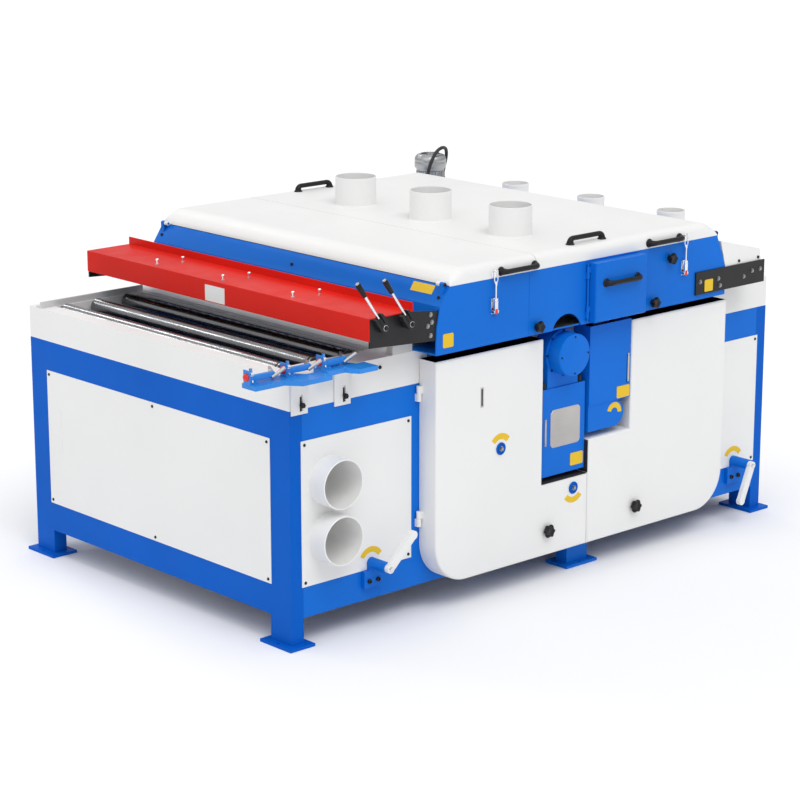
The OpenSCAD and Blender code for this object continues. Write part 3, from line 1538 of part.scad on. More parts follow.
infeed_leg_frame();
outfeed_leg_frame();
side_rails();
infeed_side_panel();
plain_panels();
steel_hardware();
infeed_table();
outfeed_table();
saw_bed();
guide_rails();
infeed_roller_1();
infeed_roller_2();
infeed_roller_3();
press_slide_1();
press_slide_2();
press_plate_1();
press_plate_2();
press_caps_1();
press_caps_2();
press_arm_1();
press_arm_2();
press_arm_3();
clamp_knobs();
hood_body();
front_lid();
rear_lid();
front_lid_handle();
rear_lid_handles();
latch_front();
latch_rear();
side_door();
side_door_handle();
kickback_guard();
side_plates();
finger_row_1();
finger_row_2();
outfeed_cover();
left_door();
right_door();
door_hinges();
door_knob_left();
door_knob_right();
arbor_drive_cover();
belt_guard();
crank_brackets();
crank_infeed();
crank_outfeed();
lift_motor();
motor_conduit();
bearing_housings();
lower_arbor();
upper_arbor();
main_motors();
lower_motor_pulley();
upper_motor_pulley();
drive_belts();
feed_roller_in();
feed_roller_out();
pressure_roller_in();
pressure_roller_out();
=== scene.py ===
# %% [markdown]
# # Dressing a multi rip saw
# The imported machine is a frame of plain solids, each at its real size. This lesson keeps every solid
# where it is and gives it the edges, fittings and finishes that a workshop machine has. Every length is
# in metres.

# %% Load the frame
import json
import math

import bmesh
import bpy
from mathutils import Matrix, Vector


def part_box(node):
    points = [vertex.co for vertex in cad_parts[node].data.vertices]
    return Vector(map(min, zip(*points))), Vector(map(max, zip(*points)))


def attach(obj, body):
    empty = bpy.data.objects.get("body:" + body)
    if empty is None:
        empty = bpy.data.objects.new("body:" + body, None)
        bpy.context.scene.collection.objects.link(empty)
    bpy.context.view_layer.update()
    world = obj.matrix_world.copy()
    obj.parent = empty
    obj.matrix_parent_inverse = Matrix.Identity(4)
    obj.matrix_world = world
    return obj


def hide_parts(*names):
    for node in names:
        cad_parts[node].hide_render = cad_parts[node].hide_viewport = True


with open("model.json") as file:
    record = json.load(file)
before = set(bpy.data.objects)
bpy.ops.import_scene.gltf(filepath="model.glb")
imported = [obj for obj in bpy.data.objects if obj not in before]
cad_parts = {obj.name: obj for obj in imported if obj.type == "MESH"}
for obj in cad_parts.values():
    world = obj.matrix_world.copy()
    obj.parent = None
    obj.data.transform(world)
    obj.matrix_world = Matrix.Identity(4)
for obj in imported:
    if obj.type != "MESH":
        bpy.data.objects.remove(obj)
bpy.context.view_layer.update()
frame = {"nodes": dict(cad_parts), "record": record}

MM = 0.001
nodes = frame["nodes"]
body_of = {n: b for b, members in frame["record"]["behaviour"]["bodies"].items() for n in members}
slot_of = {s["node"]: s["material_slot"] for s in frame["record"]["subparts"]}

# %% [markdown]
# ## Places on the machine
# The feed runs along +X and the drive side faces -Y. Fittings are set out in millimetres from the
# machine's origin. Faces, axes and rows that several cells share are named here, and the door's face is
# read from its solid.

# %% Faces, axes and rows that several cells share
NEAR, FAR, UP = Vector((0, -1, 0)), Vector((0, 1, 0)), Vector((0, 0, 1))
DOOR_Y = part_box("left_door")[0].y / MM
HOOD_Y = -945
APRON_Y = -825
PANEL_Y, END_X = 828, 1346
BOX_Y, GUARD_Y, COVER_Y, COVER_FAR_Y = -905, -917, -953, 831
PLATE_Y, PLATE_FAR_Y = -939, 817
PIN_Z = 1306
LATCH_XS, LATCH_Y, LATCH_Z = (-427, 658), -959, 1172
TAB_XS, TAB_Z = (-1290, -1082), 932
CRANK_XS, CRANK_Z = (-950, 1152), 255
ADJUSTERS = ((-356, 611), (55, 371))
LOWER_ARBOR, UPPER_ARBOR = (8, 933), (250, 1172)
MOTOR_AXES = ((12, 549), (275, 763))
PULLEY_LOW, PULLEY_HIGH = -887, -843
print("doors at", round(DOOR_Y, 1), "mm and hood side at", HOOD_Y, "mm")

# %% [markdown]
# ## Camera
# The machine was photographed from the in-feed corner of its drive side, from well above the table and
# from far off, so the lens is long. The place and the two angles were found by matching corners of the
# welded frame.

# %% Camera
CAMERA_PLACE = Vector((-6.995, -7.621, 3.245))
CAMERA_YAW = math.radians(47.64)
CAMERA_PITCH = math.radians(14.51)
CAMERA_LENS = 113.2


def make_camera():
    data = bpy.data.cameras.new("camera")
    data.lens = CAMERA_LENS
    data.clip_end = 200
    cam = bpy.data.objects.new("camera", data)
    level = math.cos(CAMERA_PITCH)
    look = Vector((math.cos(CAMERA_YAW) * level, math.sin(CAMERA_YAW) * level, -math.sin(CAMERA_PITCH)))
    cam.location = CAMERA_PLACE
    cam.rotation_mode = "QUATERNION"
    cam.rotation_quaternion = look.to_track_quat("-Z", "Y")
    bpy.context.scene.collection.objects.link(cam)
    bpy.context.scene.camera = cam


make_camera()
print("camera", tuple(round(c, 2) for c in CAMERA_PLACE), "lens", CAMERA_LENS)

# %% [markdown]
# ## Studio
# A catalogue picture has light from everywhere and one softer direction that models the shapes. A pale
# sky that is brighter overhead fills all the shades, a broad key comes over the drive side and a weaker
# one over the in-feed end. Two faint narrow lights from behind draw a line along the rollers. The floor
# is nearly white, so that the machine stands in a soft shadow of its own.

# %% Helpers for node trees and materials
def add_nodes(tree, *kinds):
    return [tree.nodes.new(kind) for kind in kinds]


def wire(tree, *runs):
    """Links nodes; a run is a node, its output, the next node and its input."""
    for source, given, target, taken in runs:
        tree.links.new(source.outputs[given], target.inputs[taken])


def set_inputs(node, values):
    for label, value in values.items():
        node.inputs[label].default_value = value


def add_ramp(tree, low, dark, high, light):
    """A colour ramp from one tone to another."""
    ramp = tree.nodes.new("ShaderNodeValToRGB")
    for element, place, tone in zip(ramp.color_ramp.elements, (low, high), (dark, light)):
        element.position = place
        element.color = (*tone, 1)
    return ramp


def shader_of(mat):
    return mat.node_tree.nodes["Principled BSDF"]


def blank_material(name, colour, roughness, metallic=0.0):
    mat = bpy.data.materials.new(name)
    mat.use_nodes = True
    set_inputs(shader_of(mat), {"Base Color": (*colour, 1), "Roughness": roughness, "Metallic": metallic})
    mat.diffuse_color = (*colour, 1)
    return mat


# %% Floor, world and lights
FLOOR_SIZE, FLOOR_TONE = 120, (0.915, 0.915, 0.925)
SKY_LOW, SKY_HIGH = (0.60, 0.61, 0.63), (1.0, 1.0, 1.0)
KEY_STRENGTH = 1.05
FILL_STRENGTH = 0.30
RIM_STRENGTH = 0.14
WORLD_STRENGTH = 0.86


def make_sun(name, towards, strength, spread):
    data = bpy.data.lights.new(name, "SUN")
    data.energy = strength
    data.angle = math.radians(spread)
    lamp = bpy.data.objects.new(name, data)
    lamp.rotation_mode = "QUATERNION"
    lamp.rotation_quaternion = Vector(towards).to_track_quat("-Z", "Y")
    bpy.context.scene.collection.objects.link(lamp)


def make_floor():
    half = FLOOR_SIZE / 2
    mesh = bpy.data.meshes.new("floor")
    corners = [(-half, -half, 0), (half, -half, 0), (half, half, 0), (-half, half, 0)]
    mesh.from_pydata(corners, [], [(0, 1, 2, 3)])
    floor = bpy.data.objects.new("floor", mesh)
    bpy.context.scene.collection.objects.link(floor)
    mat = blank_material("pale_floor", FLOOR_TONE, 0.8)
    set_inputs(shader_of(mat), {"Specular IOR Level": 0.1})
    mesh.materials.append(mat)


def make_world():
    """A pale sky that is brighter overhead, like a large soft box."""
    world = bpy.data.worlds.new("studio")
    world.use_nodes = True
    tree = world.node_tree
    sky = tree.nodes["Background"]
    coords, split = add_nodes(tree, "ShaderNodeTexCoord", "ShaderNodeSeparateXYZ")
    ramp = add_ramp(tree, 0.05, SKY_LOW, 0.75, SKY_HIGH)
    wire(tree, (coords, "Generated", split, "Vector"), (split, "Z", ramp, "Fac"),
         (ramp, "Color", sky, "Color"))
    set_inputs(sky, {"Strength": WORLD_STRENGTH})
    bpy.context.scene.world = world


make_floor()
make_world()
make_sun("key", (0.14, 0.55, -0.82), KEY_STRENGTH, 35)
make_sun("fill", (0.80, 0.16, -0.58), FILL_STRENGTH, 50)
make_sun("rim_low", (0.32, -0.78, -0.54), RIM_STRENGTH, 7)
make_sun("rim_high", (-0.20, -0.78, -0.59), RIM_STRENGTH, 7)
bpy.context.scene.view_settings.view_transform = "Standard"

# %% [markdown]
# ## Finishes
# A painted machine is never one flat colour. Sprayed enamel has a fine orange peel, its tone drifts a
# little from panel to panel, and its gloss varies where hands and dust have been. Each finish below
# starts from one colour and adds those three things from noise in object coordinates, so that nothing
# slides when a part moves.

# %% Helpers for finishes
def noise(mat, scale, detail=2.0, stretch=(1, 1, 1)):
    """Noise in object coordinates; scale counts blotches per metre."""
    tree = mat.node_tree
    coords, mapping, texture = add_nodes(
        tree, "ShaderNodeTexCoord", "ShaderNodeMapping", "ShaderNodeTexNoise")
    set_inputs(mapping, {"Scale": stretch})
    set_inputs(texture, {"Scale": scale, "Detail": detail})
    wire(tree, (coords, "Object", mapping, "Vector"), (mapping, "Vector", texture, "Vector"))
    return texture


def drift(mat, source, dark, light):
    """The base colour wanders between two tones with a noise."""
    ramp = add_ramp(mat.node_tree, 0.32, dark, 0.68, light)
    wire(mat.node_tree, (source, "Fac", ramp, "Fac"), (ramp, "Color", shader_of(mat), "Base Color"))


def vary_gloss(mat, source, low, high):
    reach = mat.node_tree.nodes.new("ShaderNodeMapRange")
    set_inputs(reach, {"From Min": 0.3, "From Max": 0.7, "To Min": low, "To Max": high})
    wire(mat.node_tree, (source, "Fac", reach, "Value"), (reach, "Result", shader_of(mat), "Roughness"))


def roughen(mat, source, depth, strength=1.0):
    bump = mat.node_tree.nodes.new("ShaderNodeBump")
    set_inputs(bump, {"Strength": strength, "Distance": depth})
    wire(mat.node_tree, (source, "Fac", bump, "Height"), (bump, "Normal", shader_of(mat), "Normal"))


def shade(colour, factor):
    return tuple(min(1.0, c * factor) for c in colour)


# %% Painted, plated and moulded finishes
def enamel(name, colour, gloss, peel=260, spread=0.06, shine=0.3):
    mat = blank_material(name, colour, gloss)
    drift(mat, noise(mat, 1.7, 3), shade(colour, 1 - spread), shade(colour, 1 + spread))
    vary_gloss(mat, noise(mat, 9, 4), gloss - 0.06, gloss + 0.08)
    roughen(mat, noise(mat, peel, 2), 0.0004, 0.22)
    set_inputs(shader_of(mat), {"Specular IOR Level": shine})
    return mat


def turned_metal(name, colour, gloss, stretch, lines=420, depth=0.00006):
    """Machined metal with tool marks; stretch is small along the marks."""
    mat = blank_material(name, colour, gloss, 1.0)
    drift(mat, noise(mat, 5, 3), shade(colour, 0.90), shade(colour, 1.10))
    marks = noise(mat, lines, 3, stretch)
    vary_gloss(mat, marks, gloss - 0.06, gloss + 0.10)
    roughen(mat, noise(mat, lines, 2, stretch), depth, 0.5)
    return mat


def moulded(name, colour, gloss, grain=900, shine=0.5):
    mat = blank_material(name, colour, gloss)
    drift(mat, noise(mat, 30, 2), shade(colour, 0.85), shade(colour, 1.2))
    vary_gloss(mat, noise(mat, 60, 3), gloss - 0.08, gloss + 0.10)
    roughen(mat, noise(mat, grain, 2), 0.0003, 0.3)
    set_inputs(shader_of(mat), {"Specular IOR Level": shine})
    return mat


BLUE = (0.003, 0.145, 0.620)
# A darker copy of the blue: on the leg frames it is painted shade of the machine's end faces, on the door
# rings and adjuster shafts a darker trim blue.
SHADE_AND_TRIM_BLUE = (0.002, 0.108, 0.530)
PRESS_BLUE = (0.020, 0.225, 0.690)
WHITE = (0.80, 0.80, 0.79)
RED = (0.68, 0.017, 0.010)
blue_paint = enamel("blue_enamel", BLUE, 0.36, shine=0.12)
shade_and_trim_paint = enamel("shade_and_trim_blue_enamel", SHADE_AND_TRIM_BLUE, 0.42, shine=0.06)
press_paint = enamel("light_blue_enamel", PRESS_BLUE, 0.28, shine=0.35)
white_paint = enamel("white_powder_coat", WHITE, 0.42, peel=420, spread=0.018)
red_paint = enamel("red_enamel", RED, 0.34, shine=0.08)
black_paint = enamel("black_satin_paint", (0.012, 0.012, 0.013), 0.42, spread=0.25)
zinc_paint = enamel("zinc_grey_enamel", (0.60, 0.605, 0.61), 0.40, shine=0.3)
motor_paint = enamel("silver_motor_paint", (0.46, 0.47, 0.48), 0.38, peel=520, spread=0.08)
yellow_paint = enamel("yellow_plate", (0.76, 0.50, 0.015), 0.40, spread=0.05)
roller_steel = turned_metal("ground_roller_steel", (0.24, 0.242, 0.25), 0.22, (1, 0.02, 1))
flat_steel = turned_metal("machined_flat_steel", (0.56, 0.565, 0.57), 0.34, (0.03, 1, 1))
blade_steel = turned_metal("saw_blade_steel", (0.62, 0.63, 0.64), 0.26, (1, 0.05, 1))
dark_steel = turned_metal("blackened_steel", (0.33, 0.33, 0.335), 0.30, (1, 1, 1), lines=60)
cowl_metal = turned_metal("spun_cowl_metal", (0.40, 0.405, 0.41), 0.34, (1, 1, 0.03), lines=200)
chrome = turned_metal("bright_plate", (0.80, 0.81, 0.82), 0.16, (1, 1, 1), lines=60)
plate_metal = turned_metal("satin_plate_metal", (0.52, 0.50, 0.49), 0.38, (0.02, 1, 1))
cast_iron = enamel("scraped_cast_iron", (0.20, 0.205, 0.21), 0.5, peel=700, spread=0.16)
black_plastic = moulded("black_moulding", (0.010, 0.010, 0.011), 0.38, shine=0.25)
red_plastic = moulded("red_moulding", (0.66, 0.02, 0.014), 0.34)
rubber = moulded("black_rubber", (0.022, 0.022, 0.023), 0.7, grain=500)
finish_of = {
    "blue_paint": blue_paint, "white_paint": white_paint, "red_paint": red_paint, "black_paint": black_paint,
    "grey_paint": motor_paint, "bare_steel": roller_steel, "bright_steel": chrome, "cast_iron": cast_iron,
    "black_plastic": black_plastic, "red_plastic": red_plastic, "rubber": rubber,
}
# The leg frames take the darker blue as painted shade of the ends.
own_finish = {"infeed_leg_frame": shade_and_trim_paint, "outfeed_leg_frame": shade_and_trim_paint, "guide_rails": zinc_paint}
for name in ("press_plate_1", "press_plate_2", "press_arm_1", "press_arm_2", "press_arm_3"):
    own_finish[name] = press_paint


def finish_for(node):
    """A node's own finish, or the one of its slot."""
    return own_finish.get(node, finish_of[slot_of[node]])


for name, node in nodes.items():
    node.data.materials.clear()
    node.data.materials.append(finish_for(name))
print("made", len(bpy.data.materials), "finishes")

# %% [markdown]
# ## Skins with rounded edges
# A folded sheet or a welded tube has no knife edges, and it is the small round of an edge that catches
# the light. The solids come with sharp corners, so each visible one gets a skin: a copy whose loose
# triangles are merged, whose flat faces are joined, and whose edges a Bevel modifier rounds. The skin
# stands for its solid.

# %% Make a piece, and skin a solid
SEAM_REACH = 0.00002
FLAT_WITHIN = math.radians(0.4)
LEVEL_WITHIN, CORNER_FROM = 1e-5, 0.9


def finish_piece(piece, body, slot, material, *stands_for):
    """Links a piece, gives it its finish and ties it to its body."""
    bpy.context.scene.collection.objects.link(piece)
    if not piece.data.materials:
        piece.data.materials.append(material)
    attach(piece, body)
    if stands_for:
        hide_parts(*stands_for)
    return piece


def smooth(mesh, degrees=32):
    mesh.polygons.foreach_set("use_smooth", [True] * len(mesh.polygons))
    mesh.set_sharp_from_angle(angle=math.radians(degrees))


def add_bevel(piece, width, segments=3, degrees=38):
    bevel = piece.modifiers.new("rounded_edges", "BEVEL")
    bevel.width = width
    bevel.segments = segments
    bevel.limit_method = "ANGLE"
    bevel.angle_limit = math.radians(degrees)
    bevel.use_clamp_overlap = True
    bevel.harden_normals = True


def joined_copy(node):
    """A CAD node's mesh with its triangles merged into plain faces."""
    bm = bmesh.new()
    bm.from_mesh(nodes[node].data)
    bmesh.ops.remove_doubles(bm, verts=bm.verts, dist=SEAM_REACH)
    bmesh.ops.dissolve_limit(bm, angle_limit=FLAT_WITHIN, verts=bm.verts, edges=bm.edges)
    return bm


def outer_edges(bm, axis, low):
    """The edges round the outline of the lowest or highest flat face along an axis."""
    ends = [v.co[axis] for v in bm.verts]
    level = min(ends) if low else max(ends)
    on = [e for e in bm.edges if all(abs(v.co[axis] - level) < LEVEL_WITHIN for v in e.verts)]
    rim = [e for e in on if e.is_manifold and abs(e.calc_face_angle(0)) > CORNER_FROM]
    left = set(rim)
    loops = []
    while left:
        loop = [left.pop()]
        for edge in loop:
            for v in edge.verts:
                for other in v.link_edges:
                    if other in left:
                        left.remove(other)
                        loop.append(other)
        loops.append(loop)

    def reach(loop):
        points = [v.co for e in loop for v in e.verts]
        return sum(max(p[i] for p in points) - min(p[i] for p in points) for i in range(3))

    return max(loops, key=reach) if loops else []


def skin(node, width, segments=3, fold=None):
    """A rounded skin for a solid. fold is (axis, low, radius) for the broad round of a folded face."""
    bm = joined_copy(node)
    if fold:
        axis, low, radius = fold
        bmesh.ops.bevel(bm, geom=outer_edges(bm, axis, low), offset=radius, segments=5, profile=0.5,
                        affect="EDGES", clamp_overlap=True)
    mesh = bpy.data.meshes.new(node + "_skin")
    bm.to_mesh(mesh)
    bm.free()
    smooth(mesh)
    piece = bpy.data.objects.new(node + "_skin", mesh)
    add_bevel(piece, width, segments)
    return finish_piece(piece, body_of[node], slot_of[node], finish_for(node), node)


# %% Skins of the frame, sheets and castings
SKINS = {
    "infeed_leg_frame": 3.5, "outfeed_leg_frame": 3.5, "side_rails": 3.5, "infeed_side_panel": 0.9,
    "plain_panels": 0.9, "infeed_table": 2.4, "outfeed_table": 2.4, "saw_bed": 2.0, "guide_rails": 1.2,
    "press_slide_1": 1.6, "press_slide_2": 1.6, "press_plate_1": 3.0, "press_plate_2": 3.0, "hood_body": 1.8,
    "kickback_guard": 1.5, "side_plates": 1.4, "outfeed_cover": 1.6, "door_hinges": 2.0,
    "belt_guard": 2.2, "crank_brackets": 2.4, "crank_infeed": 7.0, "crank_outfeed": 7.0,
    "bearing_housings": 2.0,
}
for node, width in SKINS.items():
    skin(node, width * MM)
for node in ("left_door", "right_door"):
    skin(node, 1.2 * MM, fold=(1, True, 9 * MM))
skin("side_door", 1.2 * MM, fold=(1, True, 7 * MM))
skin("arbor_drive_cover", 1.8 * MM, fold=(1, True, 6 * MM))
for arm in ("press_arm_1", "press_arm_2", "press_arm_3"):
    skin(arm, 5 * MM, 4)
print("skinned", len(SKINS) + 7, "solids")

# %% [markdown]
# ## Shapes that the fittings share
# Fittings are turned on a lathe, bent from rod or cut from bar, so three small tools make nearly all of
# them. They take millimetres, because that is how a fitting is drawn, and a finished piece is welded,
# turned right side out and smoothed before it joins its body.

# %% Turned, bent and cut shapes
WELD_REACH = 0.000001


def at(x, y, z):
    """A place given in millimetres."""
    return Vector((x, y, z)) * MM


def turn_to(axis):
    """The turn that lays Z along an axis."""
    return Vector(axis).to_track_quat("Z", "Y").to_matrix()


def lathe(bm, place, axis, profile, steps=36):
    """Turns a profile of (radius, distance along the axis) about an axis."""
    turn = turn_to(axis)
    rings = []
    for radius, along in profile:
        ring = []
        for k in range(1 if radius < 1e-6 else steps):
            a = 2 * math.pi * k / steps
            ring.append(bm.verts.new(place + turn @ at(radius * math.cos(a), radius * math.sin(a), along)))
        rings.append(ring)
    for low, high in zip(rings, rings[1:]):
        for k in range(steps):
            n = k + 1
            corners = [low[k % len(low)], low[n % len(low)], high[n % len(high)], high[k % len(high)]]
            corners = list(dict.fromkeys(corners))
            if len(corners) > 2:
                bm.faces.new(corners)


def join_rings(bm, rings):
    """Faces between rings of one count, and a face at each end."""
    for low, high in zip(rings, rings[1:]):
        for k in range(len(low)):
            n = (k + 1) % len(low)
            bm.faces.new((low[k], low[n], high[n], high[k]))
    bm.faces.new(rings[0])
    bm.faces.new(rings[-1])


def sweep(bm, path, radius, sides=14):
    """Bends a round rod along a path; radius is one length or one for each place."""
    rings = []
    side = None
    for i, place in enumerate(path):
        ahead = (path[min(i + 1, len(path) - 1)] - path[max(i - 1, 0)]).normalized()
        side = ahead.orthogonal() if side is None else side - ahead * side.dot(ahead)
        side.normalize()
        up = ahead.cross(side)
        r = (radius[i] if isinstance(radius, list) else radius) * MM
        turns = [2 * math.pi * k / sides for k in range(sides)]
        rings.append([bm.verts.new(place + (side * math.cos(a) + up * math.sin(a)) * r) for a in turns])
    join_rings(bm, rings)


def bent(path, radius, steps=6):
    """A path whose corners are rounded."""
    made = [path[0]]
    for a, b, c in zip(path, path[1:], path[2:]):
        start = b + (a - b).normalized() * radius * MM
        end = b + (c - b).normalized() * radius * MM
        for k in range(steps + 1):
            t = k / steps
            made.append(start * (1 - t) ** 2 + b * 2 * t * (1 - t) + end * t * t)
    made.append(path[-1])
    return made


def slab(bm, outline, push):
    """A plate from a flat outline, pushed through its thickness."""
    low = [bm.verts.new(p) for p in outline]
    high = [bm.verts.new(p + push) for p in outline]
    bm.faces.new(low)
    bm.faces.new(high[::-1])
    for k in range(len(low)):
        bm.faces.new((low[k - 1], low[k], high[k], high[k - 1]))


def block(bm, low, high):
    outline = [at(low[0], low[1], low[2]), at(high[0], low[1], low[2]),
               at(high[0], high[1], low[2]), at(low[0], high[1], low[2])]
    slab(bm, outline, at(0, 0, high[2] - low[2]))


def arc_plate(bm, place, inner, outer, start, end, push, steps=14):
    """A bent strip of plate on a face that looks along Y."""
    angles = [math.radians(start + (end - start) * k / steps) for k in range(steps + 1)]
    ring = [place + at(outer * math.cos(a), 0, outer * math.sin(a)) for a in angles]
    back = [place + at(inner * math.cos(a), 0, inner * math.sin(a)) for a in reversed(angles)]
    slab(bm, ring + back, at(0, push, 0))


def hex_bolt(bm, place, axis, radius, height):
    """A hexagon head on a washer."""
    lathe(bm, place, axis, [(0, 0), (radius * 1.35, 0), (radius * 1.35, 1.2), (0, 1.2)], 20)
    head = [(0, 1), (radius, 1), (radius, height * 0.88), (radius * 0.86, height), (0, height)]
    lathe(bm, place, axis, head, 6)


def cap_screw(bm, place, axis, radius, height):
    """A round head with a socket in it."""
    lathe(bm, place, axis, [(0, height * 0.45), (radius * 0.5, height * 0.45), (radius * 0.55, height),
                            (radius * 0.85, height), (radius, height * 0.82), (radius, 0), (0, 0)], 20)


def clean_mesh(name, bm):
    """Welds a shape, turns it right side out and makes a mesh of it."""
    bmesh.ops.remove_doubles(bm, verts=bm.verts, dist=WELD_REACH)
    bmesh.ops.recalc_face_normals(bm, faces=bm.faces)
    mesh = bpy.data.meshes.new(name)
    bm.to_mesh(mesh)
    bm.free()
    return mesh


def new_piece(name, bm, body, slot, material, *stands_for, bevel=0.0, degrees=32):
    mesh = clean_mesh(name, bm)
    smooth(mesh, degrees)
    piece = bpy.data.objects.new(name, mesh)
    if bevel:
        add_bevel(piece, bevel * MM, 2)
    return finish_piece(piece, body, slot, material, *stands_for)


def turned_piece(name, places, axis, profile, steps, *rest, **how):
    """A piece of one turned shape at each place; the rest goes on to new_piece."""
    bm = bmesh.new()
    for place in places:
        lathe(bm, place, axis, profile, steps)
    return new_piece(name, bm, *rest, **how)


def block_piece(name, boxes, *rest, **how):
    """A piece of square blocks, each from a low to a high corner."""
    bm = bmesh.new()
    for low, high in boxes:
        block(bm, low, high)
    return new_piece(name, bm, *rest, **how)


# %% [markdown]
# ## Node trees for what comes in numbers
# Screws, fingers, cooling fins, rim bolts and blades are one shape set out many times. Three small node
# trees set them out: along a line, round an axis, and on spots that know which way they face. Each run is
# turned into a plain mesh, so that what is handed on holds no live nodes.

# %% Trees for rows, rings and spots
def new_tree(name, inputs):
    tree = bpy.data.node_groups.new(name, "GeometryNodeTree")
    tree.interface.new_socket("Geometry", in_out="INPUT", socket_type="NodeSocketGeometry")
    for label, kind in inputs:
        tree.interface.new_socket(label, in_out="INPUT", socket_type=kind)
    tree.interface.new_socket("Geometry", in_out="OUTPUT", socket_type="NodeSocketGeometry")
    return tree, tree.nodes.new("NodeGroupInput"), tree.nodes.new("NodeGroupOutput")


def close_tree(tree, given, out, place):
    """Every tree ends the same way: plain geometry with its finish."""
    real, paint = add_nodes(tree, "GeometryNodeRealizeInstances", "GeometryNodeSetMaterial")
    wire(tree, (place, "Instances", real, "Geometry"), (real, "Geometry", paint, "Geometry"),
         (given, "Finish", paint, "Material"), (paint, "Geometry", out, "Geometry"))
    return tree


def make_row_tree():
    tree, given, out = new_tree("row_of_parts", [
        ("Count", "NodeSocketInt"), ("Start", "NodeSocketVector"), ("Step", "NodeSocketVector"),
        ("Finish", "NodeSocketMaterial")])
    line, place = add_nodes(tree, "GeometryNodeMeshLine", "GeometryNodeInstanceOnPoints")
    wire(tree, (given, "Count", line, "Count"), (given, "Start", line, "Start Location"),
         (given, "Step", line, "Offset"), (line, "Mesh", place, "Points"),
         (given, "Geometry", place, "Instance"))
    return close_tree(tree, given, out, place)


def make_ring_tree():
    tree, given, out = new_tree("ring_of_parts", [
        ("Count", "NodeSocketInt"), ("Finish", "NodeSocketMaterial")])
    points, index, whole, part, euler, turn, place = add_nodes(
        tree, "GeometryNodePoints", "GeometryNodeInputIndex", "ShaderNodeMath", "ShaderNodeMath",
        "ShaderNodeCombineXYZ", "FunctionNodeEulerToRotation", "GeometryNodeInstanceOnPoints")
    whole.operation = "MULTIPLY"
    whole.inputs[1].default_value = 2 * math.pi
    part.operation = "DIVIDE"
    wire(tree, (given, "Count", points, "Count"), (index, "Index", whole, 0), (whole, "Value", part, 0),
         (given, "Count", part, 1), (part, "Value", euler, "Z"), (euler, "Vector", turn, "Euler"),
         (turn, "Rotation", place, "Rotation"), (points, "Points", place, "Points"),
         (given, "Geometry", place, "Instance"))
    return close_tree(tree, given, out, place)


def make_spot_tree():
    tree, given, out = new_tree("parts_on_spots", [
        ("Unit", "NodeSocketObject"), ("Finish", "NodeSocketMaterial")])
    unit, facing, turn, place = add_nodes(
        tree, "GeometryNodeObjectInfo", "GeometryNodeInputNamedAttribute",
        "FunctionNodeAlignRotationToVector", "GeometryNodeInstanceOnPoints")
    facing.data_type = "FLOAT_VECTOR"
    facing.inputs["Name"].default_value = "facing"
    turn.axis = "Z"
    wire(tree, (given, "Unit", unit, "Object"), (facing, "Attribute", turn, "Vector"),
         (given, "Geometry", place, "Points"), (unit, "Geometry", place, "Instance"),
         (turn, "Rotation", place, "Rotation"))
    return close_tree(tree, given, out, place)


row_tree, ring_tree, spot_tree = make_row_tree(), make_ring_tree(), make_spot_tree()


def grown(tree, source, settings):
    """Runs a tree on a mesh and hands back the plain mesh that it makes."""
    holder = bpy.data.objects.new("holder", source)
    bpy.context.scene.collection.objects.link(holder)
    modifier = holder.modifiers.new("tree", "NODES")
    modifier.node_group = tree
    sockets = [s for s in tree.interface.items_tree if s.item_type == "SOCKET" and s.in_out == "INPUT"]
    named = {s.name: s.identifier for s in sockets}
    for label, value in settings.items():
        modifier[named[label]] = value
    graph = bpy.context.evaluated_depsgraph_get()
    mesh = bpy.data.meshes.new_from_object(holder.evaluated_get(graph), depsgraph=graph)
    bpy.data.objects.remove(holder)
    return mesh


def grown_piece(name, mesh, body, slot, *stands_for, degrees=32):
    mesh.name = name
    smooth(mesh, degrees)
    return finish_piece(bpy.data.objects.new(name, mesh), body, slot, None, *stands_for)


def spots_piece(name, unit, spots, body, slot, material, *stands_for):
    """Sets one unit on each spot; a spot is a place and the way it faces."""
    source = bpy.data.meshes.new("spots")
    source.from_pydata([place for place, way in spots], [], [])
    held = source.attributes.new("facing", "FLOAT_VECTOR", "POINT")
    held.data.foreach_set("vector", [c for place, way in spots for c in way])
    pattern = bpy.data.objects.new("pattern", clean_mesh("unit", unit))
    bpy.context.scene.collection.objects.link(pattern)
    mesh = grown(spot_tree, source, {"Unit": pattern, "Finish": material})
    bpy.data.objects.remove(pattern)
    return grown_piece(name, mesh, body, slot, *stands_for)


def ring_piece(name, unit, count, place, axis, body, slot, material, *stands_for):
    """Sets one unit out round an axis."""
    mesh = grown(ring_tree, clean_mesh("unit", unit), {"Count": count, "Finish": material})
    mesh.transform(Matrix.Translation(place) @ turn_to(axis).to_4x4())
    return grown_piece(name, mesh, body, slot, *stands_for)


def row_piece(name, unit, count, start, step, body, slot, material, *stands_for):
    """Sets one unit out along a line."""
    settings = {"Count": count, "Start": start, "Step": step, "Finish": material}
    return grown_piece(name, grown(row_tree, clean_mesh("unit", unit), settings), body, slot, *stands_for)


print("trees:", row_tree.name, ring_tree.name, spot_tree.name)

# %% [markdown]
# ## Lids
# The two lids are pressed sheet pans: flat on top, with a long soft roll down to the pin end and a broad
# round along both sides. A loft of sections follows that shape: each section is a flat top between two
# arcs, and its height grows along the roll. The dust collars of the rear lid stand on holes in its top.

# %% Lids and collars
LID_LOW, LID_H, LID_NEAR, LID_FAR = 1300.4, 59.6, HOOD_Y, 823
LID_RUN, LID_EDGE, LID_SHEET = 85, 34, 4
LID_HOLD = 8
EDGE_STEPS = 10
ROLL_STEPS, ROLL_EASE, ROLL_SWELL = 18, 1.6, 0.6
PORT_X, PORT_YS, PORT_BORE, PORT_STEPS = 35, (-569, -100, 369), 83.5, 48
LUG_BORE, LUG_LEN = 5.05, 19.6
LUG_PROFILE = [(LUG_BORE, 0), (8, 0), (9, 1), (9, LUG_LEN - 1), (8, LUG_LEN),
               (LUG_BORE, LUG_LEN), (LUG_BORE, 0)]
LID_TOP = 1360


